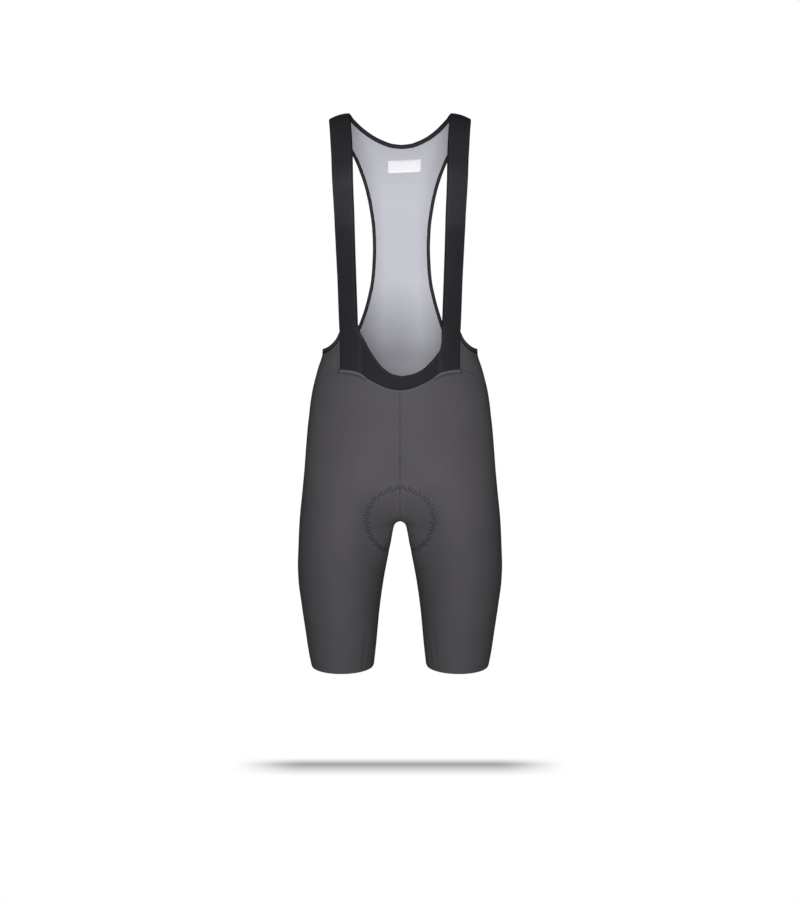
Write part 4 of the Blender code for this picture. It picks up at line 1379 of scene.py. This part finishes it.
def make_pad():
    """The seat pad, astride the crotch: quilted foam that thins out to its edge."""
    path = pad_path(-2 * MM)
    line = evenly(path, lengths_along(path[0])[-1] / PAD_STATIONS)[0]
    share = leg_share(line)
    signed = np.where(share > 0.5, share - 1, share)
    turning = np.argmax(signed < 0)
    index = np.arange(len(line))
    middle = np.where(
        index < turning,
        centre_heights(line[0, 2], 0, np.clip(index / turning, 0, 1)),
        centre_heights(line[-1, 2], 1, np.clip((len(line) - 1 - index) / (len(line) - 1 - turning), 0, 1)))
    lateral = np.linspace(0, 1, PAD_LATERAL + 1)[:, None]
    heights = middle + (line[:, 2] - middle) * lateral
    shares = signed * lateral
    shares = np.where((shares < 0) | ((lateral == 0) & (index >= turning)), shares + 1, shares)
    points = leg(shares, heights)
    normals = leg_normals(points)
    points[0, :, 0] = 0
    normals[0, :, 0] = 0
    _, edge, front, back = edge_distances(points)
    edge = np.minimum(edge, np.minimum(front, back))
    thick = PAD_EDGE + (PAD_MIDDLE - PAD_EDGE) * over(edge, 0, 16 * MM)
    for channel in CHANNELS:
        thick = thick - CHANNEL_DEPTH * hump(lateral, channel, CHANNEL_WIDTH) * over(edge, 8 * MM, 24 * MM)
    points = points - unit(normals) * PAD_UNDER
    piece = add_shell("seat_pad", points, unit(normals), thick.reshape(-1).tolist() * 2, grid_uv(points),
                      pad_finish(), ["chamois_pad"], joined=points.shape[1])


def make_label():
    """The blank woven label inside the back, its short ends sewn down."""
    across, height, width, depth, tilt = LABEL
    u, v = np.meshgrid(np.linspace(-0.5, 0.5, 60), np.linspace(0.5, -0.5, 24))
    lean = u * width * math.tan(math.radians(tilt))
    places = spot(across + u * width, height + v * depth + lean, back=True)
    points, normals = surface(places)
    end = (0.5 - np.abs(u)) * width * MM
    side = (0.5 - np.abs(v)) * depth * MM
    lift = 0.3 * MM * over(end, 0.5 * MM, 3 * MM)
    lift += 0.5 * MM * (1 - over(side, 0, 4 * MM)) * over(end, 2 * MM, 12 * MM)
    outer = points - normals * (MESH + 0.1 * MM + lift)[..., None]
    uv = np.stack((u * width * MM, v * depth * MM), axis=-1)
    add_shell("cloth_neck_label", outer, normals, LABEL_CLOTH, uv, label_finish(), ["neck_label"])
    for edge in ("first column", "last column"):
        line = grid_line(outer, normals, LABEL_LINE, edge)
        PALE.row(underside(line, LABEL_CLOTH), *LABEL_STITCH, twice=False)


# ---- Studio ----

CAMERA_PLACE = (0, -3, -0.254)
CAMERA_PITCH = math.radians(6.13)
FOCAL_PIXELS = 1724
FRAME_HEIGHT = 900
SENSOR = 36
FLOOR = -1.143
FLOOR_HALF = 40
SHADOW_FLAT = 165             # half width over which the shadow is even, and its whole half width (mm)
SHADOW_WIDE = 310
SHADOW_FRONT = 68             # how deep it is before and behind its darkest line, and where that lies
SHADOW_BACK = 50
SHADOW_LINE = 6
SHADOW_DARK = 0.62
GARMENT_MIDDLE = (0, 0, -0.5)
# Lights: name, place, size (m), power (W)
LIGHTS = (
    ("key", (-0.03, -3.3, 0.4), 1.5, 122),
    ("left", (-2.9, 1.3, 0.5), 1.4, 4),
    ("right", (2.9, 1.3, 0.5), 1.4, 4),
    ("back", (-0.2, 4, 0.3), 1.8, 65),
)
AMBIENT = 0.03


def make_camera():
    camera = bpy.data.cameras.new("camera")
    camera.lens = FOCAL_PIXELS * SENSOR / FRAME_HEIGHT
    camera.sensor_width = SENSOR
    eye = placed("camera", camera)
    eye.location = CAMERA_PLACE
    eye.rotation_euler = (math.pi / 2 - CAMERA_PITCH, 0, 0)
    bpy.context.scene.camera = eye


def make_lights():
    for name, place, size, power in LIGHTS:
        light = bpy.data.lights.new(name, "AREA")
        light.size = size
        light.energy = power
        lamp = placed(name, light)
        lamp.location = place
        lamp.rotation_euler = (Vector(GARMENT_MIDDLE) - Vector(place)).to_track_quat("-Z", "Y").to_euler()
        lamp.visible_camera = False


def make_floor():
    """A floor that the camera sees as even white with a soft painted shadow under the garment, that the
    lights see as dim grey, and that shows nothing from below.
    """
    mesh = bpy.data.meshes.new("floor")
    corners = [(x * FLOOR_HALF, y * FLOOR_HALF, FLOOR) for x, y in ((-1, -1), (1, -1), (1, 1), (-1, 1))]
    mesh.from_pydata(corners, [], [(0, 1, 2, 3)])
    made = Finish("floor", 0.9, specular=0.1, cloth=False)
    made.shader.inputs["Base Color"].default_value = (0.35, 0.35, 0.35, 1)
    wide = abs(made.x).ramp(1, 0, SHADOW_FLAT, SHADOW_WIDE, "SMOOTHSTEP")
    front = made.y.ramp(0, 1, SHADOW_LINE - SHADOW_FRONT, SHADOW_LINE)
    back = made.y.ramp(1, 0, SHADOW_LINE, SHADOW_LINE + SHADOW_BACK, "SMOOTHSTEP")
    white = made.node("ShaderNodeEmission")
    # Painted shadow: the white is darker in a soft band under the garment.
    made.put(1 - wide * front ** 1.1 * back ** 1.2 * SHADOW_DARK, white.inputs["Strength"])
    seen = made.mix(made.node("ShaderNodeLightPath").outputs["Is Camera Ray"], made.shader, white)
    clear = made.mix(made.node("ShaderNodeNewGeometry").outputs["Backfacing"], seen,
                     made.node("ShaderNodeBsdfTransparent"))
    made.put(clear.outputs[0], made.tree.nodes["Material Output"].inputs["Surface"])
    mesh.materials.append(made.material)
    placed("floor", mesh)


def make_world():
    """White to the camera, dim to the cloth."""
    world = bpy.data.worlds.new("studio")
    bpy.context.scene.world = world
    world.use_nodes = True
    nodes = world.node_tree.nodes
    links = world.node_tree.links
    nodes.clear()
    mix = nodes.new("ShaderNodeMixShader")
    links.new(nodes.new("ShaderNodeLightPath").outputs["Is Camera Ray"], mix.inputs[0])
    for socket, strength in ((mix.inputs[1], AMBIENT), (mix.inputs[2], 1)):
        background = nodes.new("ShaderNodeBackground")
        background.inputs["Color"].default_value = (1, 1, 1, 1)
        background.inputs["Strength"].default_value = strength
        links.new(background.outputs[0], socket)
    links.new(mix.outputs[0], nodes.new("ShaderNodeOutputWorld").inputs[0])


make_camera()
make_floor()
make_world()
make_lights()
bpy.context.scene.view_settings.view_transform = "Standard"

make_legs()
sew_legs()
make_straps()
make_band()
make_upper()
make_pad()
make_label()
SEWN = {
    "leg": [RING.finish_piece(), DARK.finish_piece()],
    "front_band": [BLACK.finish_piece()],
    "back_panel": [PALE.finish_piece()],
}
